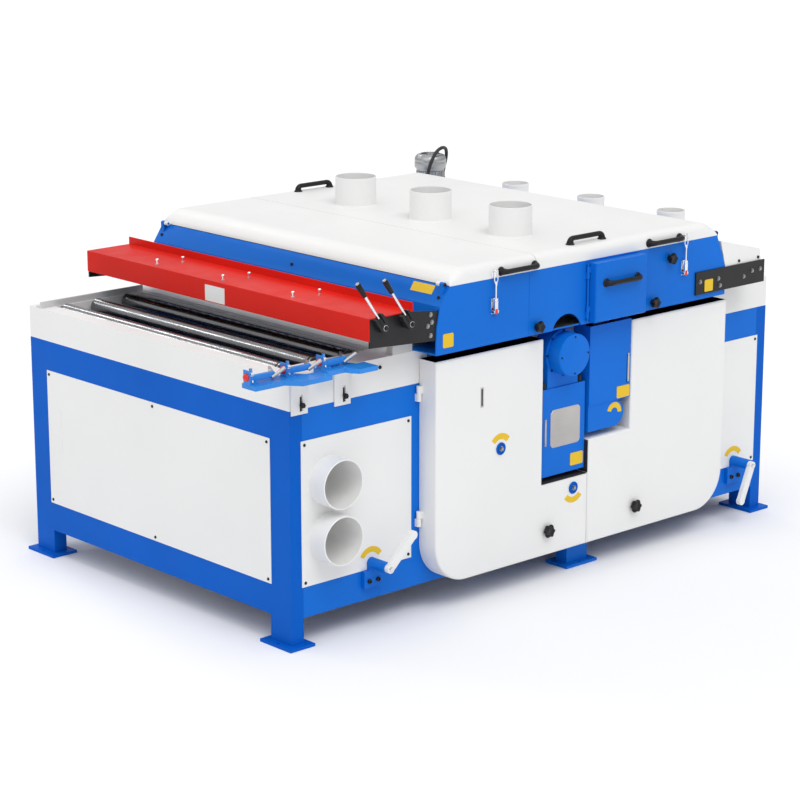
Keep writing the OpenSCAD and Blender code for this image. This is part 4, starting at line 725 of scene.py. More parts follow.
def lid_loop(x, height):
    """One section of a lid, from the near lower edge over the top to the far one."""
    r = min(LID_EDGE, 0.8 * height)
    half = [(LID_NEAR, 0)]
    for k in range(EDGE_STEPS + 1):
        a = math.pi / 2 * k / EDGE_STEPS
        half.append((LID_NEAR + r - r * math.cos(a), height - r + r * math.sin(a)))
    half.append((LID_NEAR + r + LID_HOLD, height))
    whole = half + [(LID_NEAR + LID_FAR - y, z) for y, z in reversed(half)]
    return [at(x, y, LID_LOW + z) for y, z in whole]


def lid_stations(tip, seam):
    way = 1 if seam > tip else -1
    stations = []
    for k in range(ROLL_STEPS + 1):
        s = (k / ROLL_STEPS) ** ROLL_EASE
        rise = LID_H * (1 - (1 - s) ** ROLL_EASE) ** ROLL_SWELL
        stations.append((tip + way * LID_RUN * s, max(2.5, rise)))
    stations.append((tip + way * (LID_RUN + LID_HOLD), LID_H))
    stations.append((seam, LID_H))
    return stations


def thicken(bm, sheet):
    """Gives a bent sheet its thickness, on its inner side."""
    bm.normal_update()
    inner = {v: bm.verts.new(v.co - v.normal * sheet * MM * v.calc_shell_factor()) for v in list(bm.verts)}
    rims = [tuple(e.verts) for e in bm.edges if e.is_boundary]
    for face in list(bm.faces):
        bm.faces.new([inner[v] for v in reversed(face.verts)])
    for a, b in rims:
        bm.faces.new((a, b, inner[b], inner[a]))


def lid_lugs(bm, tip, way):
    """Two knuckles that turn on the hood's pins."""
    pin = tip - way * 12
    for low in (LID_NEAR + 35.4, LID_FAR - 55):
        lathe(bm, at(pin, low, PIN_Z), FAR, LUG_PROFILE, 28)
        ends = sorted((pin + way * 6, tip + way * 6))
        block(bm, (ends[0], low + 1, 1301), (ends[1], low + LUG_LEN - 1, PIN_Z))


def make_lid(node, tip, seam, holes):
    bm = bmesh.new()
    loops = [[bm.verts.new(p) for p in lid_loop(x, h)] for x, h in lid_stations(tip, seam)]
    count = len(loops[0])
    top = count // 2 - 1
    for i, (a, b) in enumerate(zip(loops, loops[1:])):
        for k in range(count - 1):
            if not (k == top and i == len(loops) - 2):
                bm.faces.new((a[k], a[k + 1], b[k + 1], b[k]))
    a, b = loops[-2], loops[-1]
    edges = [bm.edges.get((a[top], a[top + 1])), bm.edges.get((a[top], b[top])),
             bm.edges.get((a[top + 1], b[top + 1])), bm.edges.new((b[top], b[top + 1]))]
    for y in holes:
        ring = []
        for k in range(PORT_STEPS):
            t = 2 * math.pi * k / PORT_STEPS
            place = at(PORT_X + PORT_BORE * math.cos(t), y + PORT_BORE * math.sin(t), LID_LOW + LID_H)
            ring.append(bm.verts.new(place))
        edges += [bm.edges.new((ring[k - 1], ring[k])) for k in range(PORT_STEPS)]
    bmesh.ops.triangle_fill(bm, use_beauty=True, use_dissolve=False, edges=edges, normal=UP)
    bmesh.ops.recalc_face_normals(bm, faces=bm.faces)
    highest = max(bm.faces, key=lambda f: f.calc_area())
    if highest.normal.z < 0:
        bmesh.ops.reverse_faces(bm, faces=bm.faces)
    thicken(bm, LID_SHEET)
    lid_lugs(bm, tip, 1 if seam > tip else -1)
    return new_piece(node + "_pan", bm, body_of[node], slot_of[node], white_paint, node, degrees=28)


make_lid("front_lid", -656, -197, ())
make_lid("rear_lid", 866, -195, PORT_YS)
turned_piece("dust_collars", [at(PORT_X, y, LID_TOP) for y in PORT_YS], UP,
             [(PORT_BORE, -4), (92, 0), (90.5, 1.6), (88.2, 3.2), (87.5, 5), (87.5, 117), (87, 119.2),
              (86, 120), (84.6, 120), (83.8, 119.2), (PORT_BORE, 117), (PORT_BORE, -4)],
             64, "rear_lid", "white_paint", white_paint)
turned_piece("cover_collar_rims", [at(1000, y, 1326) for y in PORT_YS], UP,
             [(60, 0), (60.6, 3), (60.6, 12), (60, 14), (58.5, 15), (57, 15), (55.8, 14), (55.6, 0),
              (60, 0)], 48, "root", "white_paint", white_paint)
print("lids and", len(PORT_YS) * 2, "collars")

# %% [markdown]
# ## Handles, knobs and latches
# The bow handles are moulded: a thick round bar that runs in one bend into two feet. The knobs have five
# or six lobes, so that a gloved hand can turn them. A toggle latch is a bright lever with a wire bail and
# a red tip.

# %% Bow handles
BOW_REACH, BOW_RISE, BOW_BEND = 90.5, 24, 20
BOW_GIRTH, BOW_FLARE, FLARE_EASE, FLARE_STEPS = 10.0, 6.6, 1.4, 10
FOOT_RISE = 0.004


def bow_handle(bm, middle, out, along=Vector((1, 0, 0))):
    """A handle with its feet on a face; out is the way that the face looks."""
    reach = along * BOW_REACH * MM
    rise = out * BOW_RISE * MM
    path = bent([middle - reach, middle - reach + rise, middle + reach + rise, middle + reach], BOW_BEND, 8)
    path[1:1] = [middle - reach + out * FOOT_RISE]
    path[-1:-1] = [middle + reach + out * FOOT_RISE]
    spread = [max(0.0, 1 - min(i, len(path) - 1 - i) / FLARE_STEPS) for i in range(len(path))]
    sweep(bm, path, [BOW_GIRTH + BOW_FLARE * s ** FLARE_EASE for s in spread], 18)
    for foot in (middle - reach, middle + reach):
        lathe(bm, foot, out, [(0, 0), (18, 0), (18, 2.4), (15.5, 6), (0, 6)], 24)


BOWS = (
    ("front_lid", "front_lid_bow", "front_lid_handle", ((at(-298, HOOD_Y, 1322), NEAR),)),
    ("rear_lid", "rear_lid_bows", "rear_lid_handles",
     ((at(538, HOOD_Y, 1322), NEAR), (at(138, -889, LID_TOP), UP), (at(138, 767, LID_TOP), UP))),
    ("side_door", "side_door_bow", "side_door_handle", ((at(242.5, -990, 1208), NEAR),)),
)
for body, name, node, places in BOWS:
    grips = bmesh.new()
    for middle, out in places:
        bow_handle(grips, middle, out)
    new_piece(name, grips, body, "black_plastic", black_plastic, node)


# %% Lobed knobs
KNOB_RINGS = ((0.45, 0, 0), (0.62, 0, 0.06), (0.9, 0.25, 0.12), (1, 0.55, 0.15),
              (0.94, 0.86, 0.14), (0.8, 1, 0.1), (0.45, 1, 0.03), (0.3, 0.93, 0))


def lobed_knob(bm, place, axis, radius, height, lobes=5):
    """A star knob: its outline swells into lobes and its top is dished."""
    turn = turn_to(axis)
    steps = lobes * 12
    rings = []
    for share, along, depth in KNOB_RINGS:
        ring = []
        for k in range(steps):
            a = 2 * math.pi * k / steps
            r = radius * share * (1 - depth + depth * math.cos(lobes * a))
            ring.append(bm.verts.new(place + turn @ at(r * math.cos(a), r * math.sin(a), along * height)))
        rings.append(ring)
    join_rings(bm, rings)


knobs = bmesh.new()
for x, z in ((-190.7, 1077), (475.5, 1075), (572.8, 1243.9)):
    lathe(knobs, at(x, HOOD_Y, z), NEAR, [(0, 0), (12, 0), (12, 3), (8, 4), (8, 9), (0, 9)], 24)
    lobed_knob(knobs, at(x, HOOD_Y - 7, z), NEAR, 25, 23)
for x in TAB_XS:
    lathe(knobs, at(x, APRON_Y, TAB_Z), NEAR, [(0, 0), (5, 0), (5, 7), (9, 7), (9, 8.5), (0, 8.5)], 20)
    lobed_knob(knobs, at(x, APRON_Y - 7, TAB_Z), NEAR, 11, 15.5, 6)
new_piece("star_knobs", knobs, "root", "black_plastic", black_plastic, "clamp_knobs")
for side, x in (("left", -93), ("right", 418)):
    body = "door_knob_" + side
    knob = bmesh.new()
    lathe(knob, at(x, -913, 222), NEAR, [(0, 0), (7.9, 0), (7.9, 8.4), (13, 8.4), (13, 12), (0, 12)], 24)
    lobed_knob(knob, at(x, -923, 222), NEAR, 29, 24, 6)
    new_piece("door_star_" + side, knob, body, "black_plastic", black_plastic, body)


# %% Toggle latches
LEVER_EDGE = ((-8, 52), (8, 52), (9, 30), (7, 8), (-7, 8), (-9, 30))
TIP_EDGE = ((-7, 12), (7, 12), (8.5, -4), (5, -9), (-5, -9), (-8.5, -4))
BAIL = ((-3, 1282), (-9, 1294), (-9, 1334), (9, 1334), (9, 1294), (3, 1282))


def make_latch(node, x):
    y, z = LATCH_Y, LATCH_Z
    lever = bmesh.new()
    slab(lever, [at(x + dx, y - 3.5, z + dz) for dx, dz in LEVER_EDGE], at(0, 5, 0))
    for side in (-1, 1):
        block(lever, (x + side * 7 - 1.5, y - 4, z - 4), (x + side * 7 + 1.5, y + 4, z + 34))
        hex_bolt(lever, at(x + side * 5, y - 3.4, z + 40), NEAR, 2.6, 3)
    lathe(lever, at(x, y, z + 36), UP,
          [(0, 0), (4.6, 0), (4.6, 12), (3.4, 13), (3.4, 66), (5, 67), (5, 82), (0, 82)], 16)
    sweep(lever, bent([at(x + dx, y, bail_z) for dx, bail_z in BAIL], 6), 2.4, 12)
    new_piece(node + "_lever", lever, node, "bright_steel", chrome, node, bevel=0.5)
    tip = bmesh.new()
    slab(tip, [at(x + dx, y - 4, z + dz) for dx, dz in TIP_EDGE], at(0, 7, 0))
    new_piece(node + "_tip", tip, node, "red_plastic", red_plastic, bevel=1.2)


for end, x in zip(("front", "rear"), LATCH_XS):
    make_latch("latch_" + end, x)
for body, x in zip(("front_lid", "rear_lid"), LATCH_XS):
    boxes = [((x - 12, HOOD_Y - 2, 1304), (x + 12, HOOD_Y, 1324)),
             ((x - 4.2, HOOD_Y - 16, 1326), (x + 4.2, HOOD_Y + 1, 1331.4))]
    block_piece(body + "_catch", boxes, body, "bright_steel", chrome, bevel=0.6)
print("handles, knobs and latches in place")

# %% [markdown]
# ## Screws, studs and latch plates
# Small fasteners hold the panels, stand on the guard and carry the latches. The black panel screws are
# one head set on spots, each spot facing out of its panel. The studs are turned, with a washer below and
# a domed nut on top.

# %% Panel screws
SCREW_ZS = (246, 777)
screw = bmesh.new()
lathe(screw, at(0, 0, 0), UP,
      [(0, 1.4), (2.2, 1.4), (2.6, 3.9), (4.2, 3.7), (5.4, 2.6), (6, 1), (6, 0), (0, 0)], 20)
spots = []
for x0, x1, sides in ((-1291, -742, (-1, 1)), (1012, 1291, (-1, 1)), (-698, 968, (1,))):
    for side in sides:
        for x in (x0 + 16, x1 - 16):
            spots += [(at(x, side * PANEL_Y, z), (0, side, 0)) for z in SCREW_ZS]
for side in (-1, 1):
    for y in (-697, 0, 697):
        spots += [(at(side * END_X, y, z), (side, 0, 0)) for z in SCREW_ZS]
spots_piece("panel_screws", screw, spots, "root", "black_plastic", black_paint, "steel_hardware")
print("panel screws:", len(spots))

# %% Studs of the guard and plates of the latches
studs = bmesh.new()
for row, x in ((0, -1020), (1, -914.8)):
    for y in (381, -43.3, -467.6):
        place = at(x, y - row * 32, 1235)
        lathe(studs, place, UP, [(0, 0), (8, 0), (8, 1.4), (0, 1.4)], 20)
        lathe(studs, place, UP, [(0, 1), (7.4, 1), (7.4, 5.6), (4, 6), (4, 19), (0, 19)], 6)
        lathe(studs, place, UP, [(0, 18), (7, 18), (7.4, 20), (7, 23), (5, 25.4), (0, 26)], 20)
new_piece("guard_studs", studs, "root", "bright_steel", chrome)
plates = bmesh.new()
for x in LATCH_XS:
    block(plates, (x - 13.4, -948, 1163), (x + 13.4, HOOD_Y, 1224))
    for side in (-1, 1):
        block(plates, (x + side * 11.4 - 2, -962, 1166), (x + side * 11.4 + 2, -947, 1178))
    lathe(plates, at(x - 13.4, LATCH_Y, LATCH_Z), (1, 0, 0),
          [(0, 0), (4.6, 0), (4.6, 2), (3, 2.4), (3, 24.4), (4.6, 24.8), (4.6, 26.8), (0, 26.8)], 18)
new_piece("latch_plates", plates, "root", "bright_steel", chrome, bevel=0.6)

# %% [markdown]
# ## In-feed rollers
# The three rollers are thin ground tubes on journals. Each is one turned profile: a chamfered tube, a
# sunk end disc and the journal that runs in the table's bearers. A black ring marks the near end of each.

# %% In-feed rollers
ROLLER_XS, ROLLER_Z, ROLLER_R = (-1240, -1083, -926), 1019, 35
ROLLER_PROFILE = [
    (0, -702), (11.4, -702), (12.5, -700.8), (12.5, -667), (28.5, -667), (29.5, -670), (33, -670),
    (34.4, -669.4), (ROLLER_R, -668), (ROLLER_R, 713), (34.4, 714.4), (33, 715), (29.5, 715), (28.5, 712),
    (12.5, 712), (12.5, 745.8), (11.4, 747), (0, 747)]
for k, x in enumerate(ROLLER_XS, 1):
    body = "infeed_roller_%d" % k
    axis = [at(x, 0, ROLLER_Z)]
    turned_piece(body + "_tube", axis, FAR, ROLLER_PROFILE, 72,
                 body, "bare_steel", roller_steel, body, degrees=15)
    turned_piece(body + "_ring", axis, FAR, [(34.9, -661), (35.4, -660.4), (35.4, -651.6), (34.9, -651)],
                 72, body, "black_plastic", black_plastic)
print("rollers:", len(ROLLER_XS))

# %% [markdown]
# ## Kick-back fingers and their levers
# Behind the guard hang two rows of loose fingers on a shaft. One finger is cut from plate with a round
# hub, and a row of them is set out along the shaft. The lever of each row is a bright rod in a black
# fork, with a moulded grip.

# %% Kick-back fingers
FINGER_ROWS = ((1, -991, -961.4), (2, -876, -979.4))
FINGER_Z, FINGER_LEAN, FINGER_REACH = 1195, math.radians(42), 133
FINGER_COUNT, FINGER_STEP, FIRST_FINGER_Y = 26, 56.1, -766
FINGER_OUTLINE = ((-0.14, 0.02), (0.14, 0.02), (0.12, -0.3), (0.16, -0.7),
                  (0.20, -0.95), (0.07, -1), (0.02, -0.72), (-0.06, -0.35))
HUB_END_Y = -939.4
LEVER_LEAN = math.radians(35.5)
LEVER_WAY = Vector((-math.sin(LEVER_LEAN), 0, math.cos(LEVER_LEAN)))
LEVER_SIDE = Vector((math.cos(LEVER_LEAN), 0, math.sin(LEVER_LEAN)))
CHEEK = ((2, 9), (50, 10), (58, 13), (57, 20), (44, 23), (2, 22))


def finger_unit():
    """One finger about the shaft, with its rounded root and its hooked tip."""
    bm = bmesh.new()
    outline = []
    for u, v in FINGER_OUTLINE:
        x = (u * math.cos(FINGER_LEAN) - v * math.sin(FINGER_LEAN)) * FINGER_REACH
        z = (u * math.sin(FINGER_LEAN) + v * math.cos(FINGER_LEAN)) * FINGER_REACH
        outline.append(at(x, -4.5, z))
    slab(bm, outline, at(0, 9, 0))
    lathe(bm, at(0, -5, 0), FAR, [(12.1, 0), (18, 0), (19, 1), (19, 9), (18, 10), (12.1, 10), (12.1, 0)], 20)
    return bm


for k, x, hub_y in FINGER_ROWS:
    body = "finger_row_%d" % k
    start = at(x, FIRST_FINGER_Y + (0.25 + 0.5 * (k - 1)) * FINGER_STEP, FINGER_Z)
    row_piece(body + "_fingers", finger_unit(), FINGER_COUNT, start, at(0, FINGER_STEP, 0),
              body, "black_paint", black_paint, body)
    turned_piece(body + "_shaft", [at(x, 0, FINGER_Z)], FAR,
                 [(0, hub_y), (10.8, hub_y), (12, hub_y + 1.2), (12, 816), (11, 817), (0, 817)], 32,
                 body, "bare_steel", flat_steel)
    hub = bmesh.new()
    hub_len = HUB_END_Y - hub_y
    lathe(hub, at(x, hub_y, FINGER_Z), FAR,
          [(12, 0.4), (18.6, 0.4), (20, 1.8), (20, hub_len - 1), (19, hub_len), (12, hub_len)], 32)
    root = at(x, hub_y + 11, FINGER_Z)
    lathe(hub, root, LEVER_WAY, [(0, 10), (10.5, 10), (10.5, 40), (8.5, 46), (0, 46)], 24)
    for side in (-1, 1):
        edge = [root + (LEVER_WAY * s + LEVER_SIDE * side * p) * MM for s, p in CHEEK]
        slab(hub, [p - at(0, 10, 0) for p in edge], at(0, 20, 0))
    hex_bolt(hub, at(x, hub_y, FINGER_Z), NEAR, 7, 5)
    new_piece(body + "_hub", hub, body, "black_paint", black_paint)
    turned_piece(body + "_lever", [root], LEVER_WAY, [(0, 44), (5.6, 44), (5.6, 172), (0, 172)], 20,
                 body, "bright_steel", chrome)
    turned_piece(body + "_grip", [root], LEVER_WAY,
                 [(0, 160), (7.6, 160), (8.6, 161.5), (9.2, 170), (10.6, 188), (11, 204), (10.4, 220),
                  (9.4, 223), (0, 223)], 28, body, "black_plastic", black_plastic)
    turned_piece(body + "_cap", [root], LEVER_WAY,
                 [(0, 222), (8.2, 222), (7.8, 224.4), (5.5, 225.8), (0, 226)], 24,
                 body, "bright_steel", plate_metal)
print("finger rows:", len(FINGER_ROWS), "of", FINGER_COUNT, "fingers")

# %% [markdown]
# ## Side press
# Three sprung arms press the board against the far fence. Each turns on a bolted head that ends in a red
# dome, and carries a flat steel shoe with a slanted round bar. Domes, bolts and bars are turned, shoes
# are cut plate.

# %% Domes, bolts and shoes of the side press
HEADS = ((-1549, "press_unit_1"), (-1379, "press_unit_1"), (-1209, "press_unit_2"))
HEAD_Y, HEAD_HALF, ARM_LEN = -862.2, 19, 105
SHOE_EDGE = ((-6, 8), (2, 4), (32, 58), (24, 62))
for k, node in ((1, "press_caps_1"), (2, "press_caps_2")):
    unit = "press_unit_%d" % k
    heads = [x for x, body in HEADS if body == unit]
    turned_piece("red_domes_%d" % k, [at(x - HEAD_HALF, HEAD_Y, 1088) for x in heads], (-1, 0, 0),
                 [(0, 0), (14, 0), (14, 4), (13, 7), (10, 9.6), (5, 10.8), (0, 11)], 32,
                 unit, "red_plastic", red_plastic, node)
    nuts = bmesh.new()
    for x in heads:
        lathe(nuts, at(x, HEAD_Y, 1092.6), UP, [(0, 0), (12.5, 0), (12.5, 2), (0, 2)], 24)
        lathe(nuts, at(x, HEAD_Y, 1094.4), UP, [(0, 0), (10.6, 0), (10.6, 9), (9.4, 10.4), (0, 10.4)], 6)
        lathe(nuts, at(x, HEAD_Y, 1104), UP, [(0, 0), (6, 0), (6, 12.6), (5, 14), (0, 14)], 20)
        for side in (-1, 1):
            cap_screw(nuts, at(x - 8, HEAD_Y + side * HEAD_HALF, 1075), (0, side, 0), 4, 3)
    new_piece("press_nuts_%d" % k, nuts, unit, "bright_steel", chrome)
for k, (x, body) in enumerate(HEADS, 1):
    end = x + ARM_LEN
    shoe = bmesh.new()
    slab(shoe, [at(end + dx, HEAD_Y + dy, 1069) for dx, dy in SHOE_EDGE], at(0, 0, 26))
    foot = at(end - 10, HEAD_Y - 10, 1075)
    way = Vector((42, -18, 30)).normalized()
    lathe(shoe, foot, way, [(0, -6), (5.6, -6), (7, -4.4), (7, 52), (5.6, 54), (0, 54)], 24)
    new_piece("press_shoe_%d" % k, shoe, "press_arm_%d" % k, "bare_steel", flat_steel, bevel=0.8)
# Black strips on the apron behind the tabs' slots are painted shade, so that the slots look dark.
boxes = [((x - 5.4, -826.2, 900), (x + 5.4, -825.1, 962)) for x in TAB_XS]
block_piece("slot_backs", boxes, "root", "black_paint", black_paint, bevel=0.3)

# %% [markdown]
# ## Fittings of the drive covers and doors
# The round cap over the lower arbor is held by screws on its face and its flange. The box below carries a
# plain metal plate on four rivets and a slim satin strip. Where the machine has notices, it gets bare
# yellow plates. The doors have bare arcs, rims round two adjusters and black strips along their inner
# edges: a rubber seal on the right door, and painted shade across the notch of the left door.

# %% Screws, plates and strips of the drive covers
rim_screw = bmesh.new()
cap_screw(rim_screw, at(74, 0, 0), UP, 3.6, 3)
cap_x, cap_z = LOWER_ARBOR
ring_piece("cap_face_screws", rim_screw, 4, at(cap_x, -965, cap_z), NEAR,
           "root", "black_plastic", black_paint)
flange_screw = bmesh.new()
cap_screw(flange_screw, at(91, 0, 0), UP, 4.2, 5)
ring_piece("cap_flange_screws", flange_screw, 8, at(cap_x, -899, cap_z), NEAR,
           "root", "black_plastic", black_paint)
stand_screws = bmesh.new()
for x in (-93, 113):
    lathe(stand_screws, at(x, -888, 797), UP, [(0, 0), (13, 0), (13, 3), (0, 3)], 24)
    cap_screw(stand_screws, at(x, -888, 799.5), UP, 11, 24)
new_piece("box_top_screws", stand_screws, "root", "black_plastic", black_paint)


def plain_plate(bm, low, high, sheet=1.2):
    """A plate with cut corners on a face that looks towards the drive side."""
    x0, y, z0 = low
    x1, z1 = high
    c = min(x1 - x0, z1 - z0) * 0.08
    outline = [at(x0 + c, y, z0), at(x1 - c, y, z0), at(x1, y, z0 + c), at(x1, y, z1 - c),
               at(x1 - c, y, z1), at(x0 + c, y, z1), at(x0, y, z1 - c), at(x0, y, z0 + c)]
    slab(bm, outline, at(0, -sheet, 0))


panel = bmesh.new()
plain_plate(panel, (-64, BOX_Y, 552), (104, 708))
new_piece("metal_plate", panel, "root", "bare_steel", plate_metal, bevel=0.3)
rivet = bmesh.new()
lathe(rivet, at(0, 0, 0), UP, [(3.4, 0), (3.2, 1), (2, 2), (0, 2.3)], 14)
corners = [(at(x, -906.2, z), NEAR) for x in (-56, 96) for z in (560, 700)]
spots_piece("plate_rivets", rivet, corners, "root", "bright_steel", chrome)
strips = bmesh.new()
for x, face, low, high in ((-92, BOX_Y, 566, 676), (371, GUARD_Y, 758, 876)):
    block(strips, (x - 5, face - 2.5, low), (x + 5, face, high))
    for z in (low + 8, high - 8):
        cap_screw(strips, at(x, face - 2.5, z), NEAR, 3.2, 2)
new_piece("satin_strips", strips, "root", "bare_steel", plate_metal, bevel=0.5)
notices = bmesh.new()
for low, high in (((52, BOX_Y, 459), (124, 511)), ((306, GUARD_Y, 696), (381, 745)),
                  ((786, COVER_Y, 1074), (838, 1124)), ((-690, HOOD_Y, 1068), (-636, 1122))):
    plain_plate(notices, low, high)
for x in CRANK_XS:
    arc_plate(notices, at(x, -PANEL_Y, CRANK_Z), 42, 64, 32, 148, -1)
arc_plate(notices, at(297, -913, 640), 20, 42, -5, 165, -1)
new_piece("yellow_plates", notices, "root", "blue_paint", yellow_paint)
print("plates and screws of the drive covers in place")

# %% Marks of the doors and shafts behind them
door_marks = bmesh.new()
for (x, z), start, end in zip(ADJUSTERS, (38, 218), (142, 322)):
    arc_plate(door_marks, at(x, DOOR_Y, z), 38, 62, start, end, -0.8)
new_piece("left_door_arcs", door_marks, "left_door", "white_paint", yellow_paint)
# A thin black plate stands for the slit in the door: its black is painted shade of the opening.
slit = bmesh.new()
plain_plate(slit, (-463, DOOR_Y - 0.8, 800), (-456, 868), 0.5)
new_piece("left_door_slit", slit, "left_door", "black_plastic", black_plastic)
rim = bmesh.new()
plain_plate(rim, (-467, DOOR_Y, 794), (-450, 874), 0.8)
for x, z in ADJUSTERS:
    lathe(rim, at(x, DOOR_Y, z), NEAR, [(17.4, 0), (21, 0), (21, 1.2), (17.4, 1.2), (17.4, 0)], 32)
new_piece("left_door_rims", rim, "left_door", "bare_steel", plate_metal)
turned_piece("left_door_rings", [at(x, DOOR_Y - 1.2, z) for x, z in ADJUSTERS], NEAR,
             [(17.4, 0), (25, 0), (25, 2), (23.6, 3.2), (18.4, 3.2), (17.4, 2), (17.4, 0)], 36,
             "left_door", "blue_paint", shade_and_trim_paint)
# The left door's strip lies across its notch and is painted shade; the right door's strip is a rubber seal.
for door, low, high in (("left_door", (-119, -918, 415.2), (137, -829, 417.2)),
                        ("right_door", (139, -918, 418), (140.8, -829, 552))):
    block_piece(door + "_seal", [(low, high)], door, "rubber", rubber, bevel=0.4)
turned_piece("adjuster_shafts", [at(x, -765, z) for x, z in ADJUSTERS], NEAR,
             [(0, -20), (11, -20), (11, 148), (15.6, 149), (16, 150), (16, 159), (15, 160.5), (0, 160.5)],
             32, "root", "blue_paint", shade_and_trim_paint)
nuts = bmesh.new()
for x, z in ADJUSTERS:
    hex_bolt(nuts, at(x, -925.5, z), NEAR, 7.6, 7.4)
new_piece("adjuster_nuts", nuts, "root", "bright_steel", dark_steel)

# %% [markdown]
# ## Bolts of the plates, hood and cranks
# Each bolted joint gets its head: dark hexagons on the black plates, black socket screws on the crank
# brackets and hinge cheeks. A bolt stands on the face that it holds and rides on that face's body. A
# black rubber sheet behind the arch in the hood's side is painted shade that darkens the view through it.

# %% Bolts
hexes = bmesh.new()
for x, z in ((758, 1120), (872, 1119), (884, 1088), (1034, 1105), (1088, 1122), (1139, 1124)):
    hex_bolt(hexes, at(x, COVER_Y, z), NEAR, 7, 6)
    hex_bolt(hexes, at(x, COVER_FAR_Y, z), FAR, 7, 6)
for x, z in ((-748, 1206), (-742, 1176), (-762, 1164), (-748, 1126)):
    hex_bolt(hexes, at(x, PLATE_Y, z), NEAR, 7, 5)
    hex_bolt(hexes, at(x, PLATE_FAR_Y, z), FAR, 7, 5)
new_piece("plate_bolts", hexes, "root", "bright_steel", dark_steel)
blacks = bmesh.new()
for x in CRANK_XS:
    for shift in (-22, 22):
        cap_screw(blacks, at(x + shift, -843, 188), NEAR, 9, 8)
cap_screw(blacks, at(-901, APRON_Y, 1009), NEAR, 7, 5)
for x in (1009, 1132):
    cap_screw(blacks, at(x, HOOD_Y, 1174), NEAR, 6, 5)
SLOPE_X, SLOPE_Z, SLOPE_RUN = -704.3, 1228.3, 0.6736
slope_out = Vector((-0.83, 0, 0.559))
for y in (-916, -62, 792):
    cap_screw(blacks, at(-684.6, y, 1257.6), slope_out, 6.5, 5)
for x in (-668, 878):
    cap_screw(blacks, at(x, -930, PIN_Z), NEAR, 6.5, 5)
    cap_screw(blacks, at(x, 808, PIN_Z), FAR, 6.5, 5)
new_piece("black_bolts", blacks, "root", "black_plastic", black_paint)
slope_plate = bmesh.new()
edge = ((-873, 1262), (-754, 1262), (-754, 1293), (-873, 1293))
slab(slope_plate, [at(SLOPE_X + (z - SLOPE_Z) * SLOPE_RUN, y, z) for y, z in edge], slope_out * 0.0012)
new_piece("hood_front_plate", slope_plate, "root", "blue_paint", yellow_paint)
end_plate = bmesh.new()
for x, y0, y1, z0, z1 in ((-END_X, 618, 692, 458, 640), (-1055, -95, 27, 1152, 1216)):
    slab(end_plate, [at(x, y0, z0), at(x, y1, z0), at(x, y1, z1), at(x, y0, z1)], at(-1, 0, 0))
new_piece("plain_white_plates", end_plate, "root", "white_paint", white_paint, bevel=0.3)
for name, x in zip(("crank_infeed", "crank_outfeed"), CRANK_XS):
    centre = bmesh.new()
    hex_bolt(centre, at(x, -943, CRANK_Z), NEAR, 8, 7)
    new_piece(name + "_bolt", centre, name, "bright_steel", chrome)
turned_piece("side_door_pin", [at(87, COVER_Y, 1054)], UP, [(0, 0), (3.9, 0), (3.9, 236), (0, 236)], 16,
             "root", "blue_paint", blue_paint)
block_piece("hood_side_seam", [((-234, HOOD_Y - 1, 1052), (-230, HOOD_Y, 1292))],
            "root", "blue_paint", blue_paint, bevel=0.3)
# A black sheet under the arch: painted shade for the dark inside that shows through the arch.
block_piece("arch_mat", [((-118, -937, 1050.2), (116, -815, 1052))], "root", "rubber", rubber, bevel=0.4)

# %% Ducts behind the base spigots
ducts = bmesh.new()
for z in (404, 622):
    lathe(ducts, at(-1160, -915, z), FAR,
          [(91, 0.5), (94.8, 0.5), (96, 2), (96, 5), (95.2, 6.5), (95.1, 7)], 64)
    lathe(ducts, at(-1160, -826, z), FAR,
          [(90.9, 0), (90.4, 110), (0, 110), (0, 112), (93, 112), (93, 4), (90.9, 0)], 64)
new_piece("spigot_ducts", ducts, "root", "white_paint", white_paint)

# %% [markdown]
# ## Lift motor and its conduit
# The small motor at the far corner raises and lowers the pressure gear. Its body is finned, so one fin is
# set out round the axis, and its cowl is a spun dome. A smooth black conduit leaves the terminal box,
# arches over the motor and goes down into the plate. It is stiff enough to keep that arch.

# %% Lift motor
LIFT_X, LIFT_Y = 977, 911
LIFT_AXIS = at(LIFT_X, LIFT_Y, 0)
LIFT_PROFILE = [
    (0, 1119), (74, 1119), (76, 1121), (76, 1134), (74, 1136), (62, 1137), (61, 1140), (61, 1336),
    (64, 1338), (66, 1340), (66, 1351), (73, 1351), (74, 1353), (74, 1378), (73.2, 1380), (73.2, 1383),
    (74, 1385), (73.6, 1391), (70, 1401.5), (62, 1410), (50, 1414.2), (30, 1415.6), (0, 1416)]
boxes = [((LIFT_X - 86, 825, 1000), (LIFT_X + 86, 985, 1015)),
         ((LIFT_X - 60, LIFT_Y - 60, 1015), (LIFT_X + 60, LIFT_Y + 60, 1120))]
block_piece("lift_gear_box", boxes, "root", "grey_paint", motor_paint, "lift_motor", bevel=4)
turned = bmesh.new()
lathe(turned, LIFT_AXIS, UP, LIFT_PROFILE, 64)
lathe(turned, at(LIFT_X - 72, 845, 1015), UP,
      [(0, 0), (12, 0), (12, 9), (10, 12), (10, 17.6), (7.2, 18), (0, 18)], 28)
new_piece("lift_motor_shell", turned, "root", "grey_paint", cowl_metal)
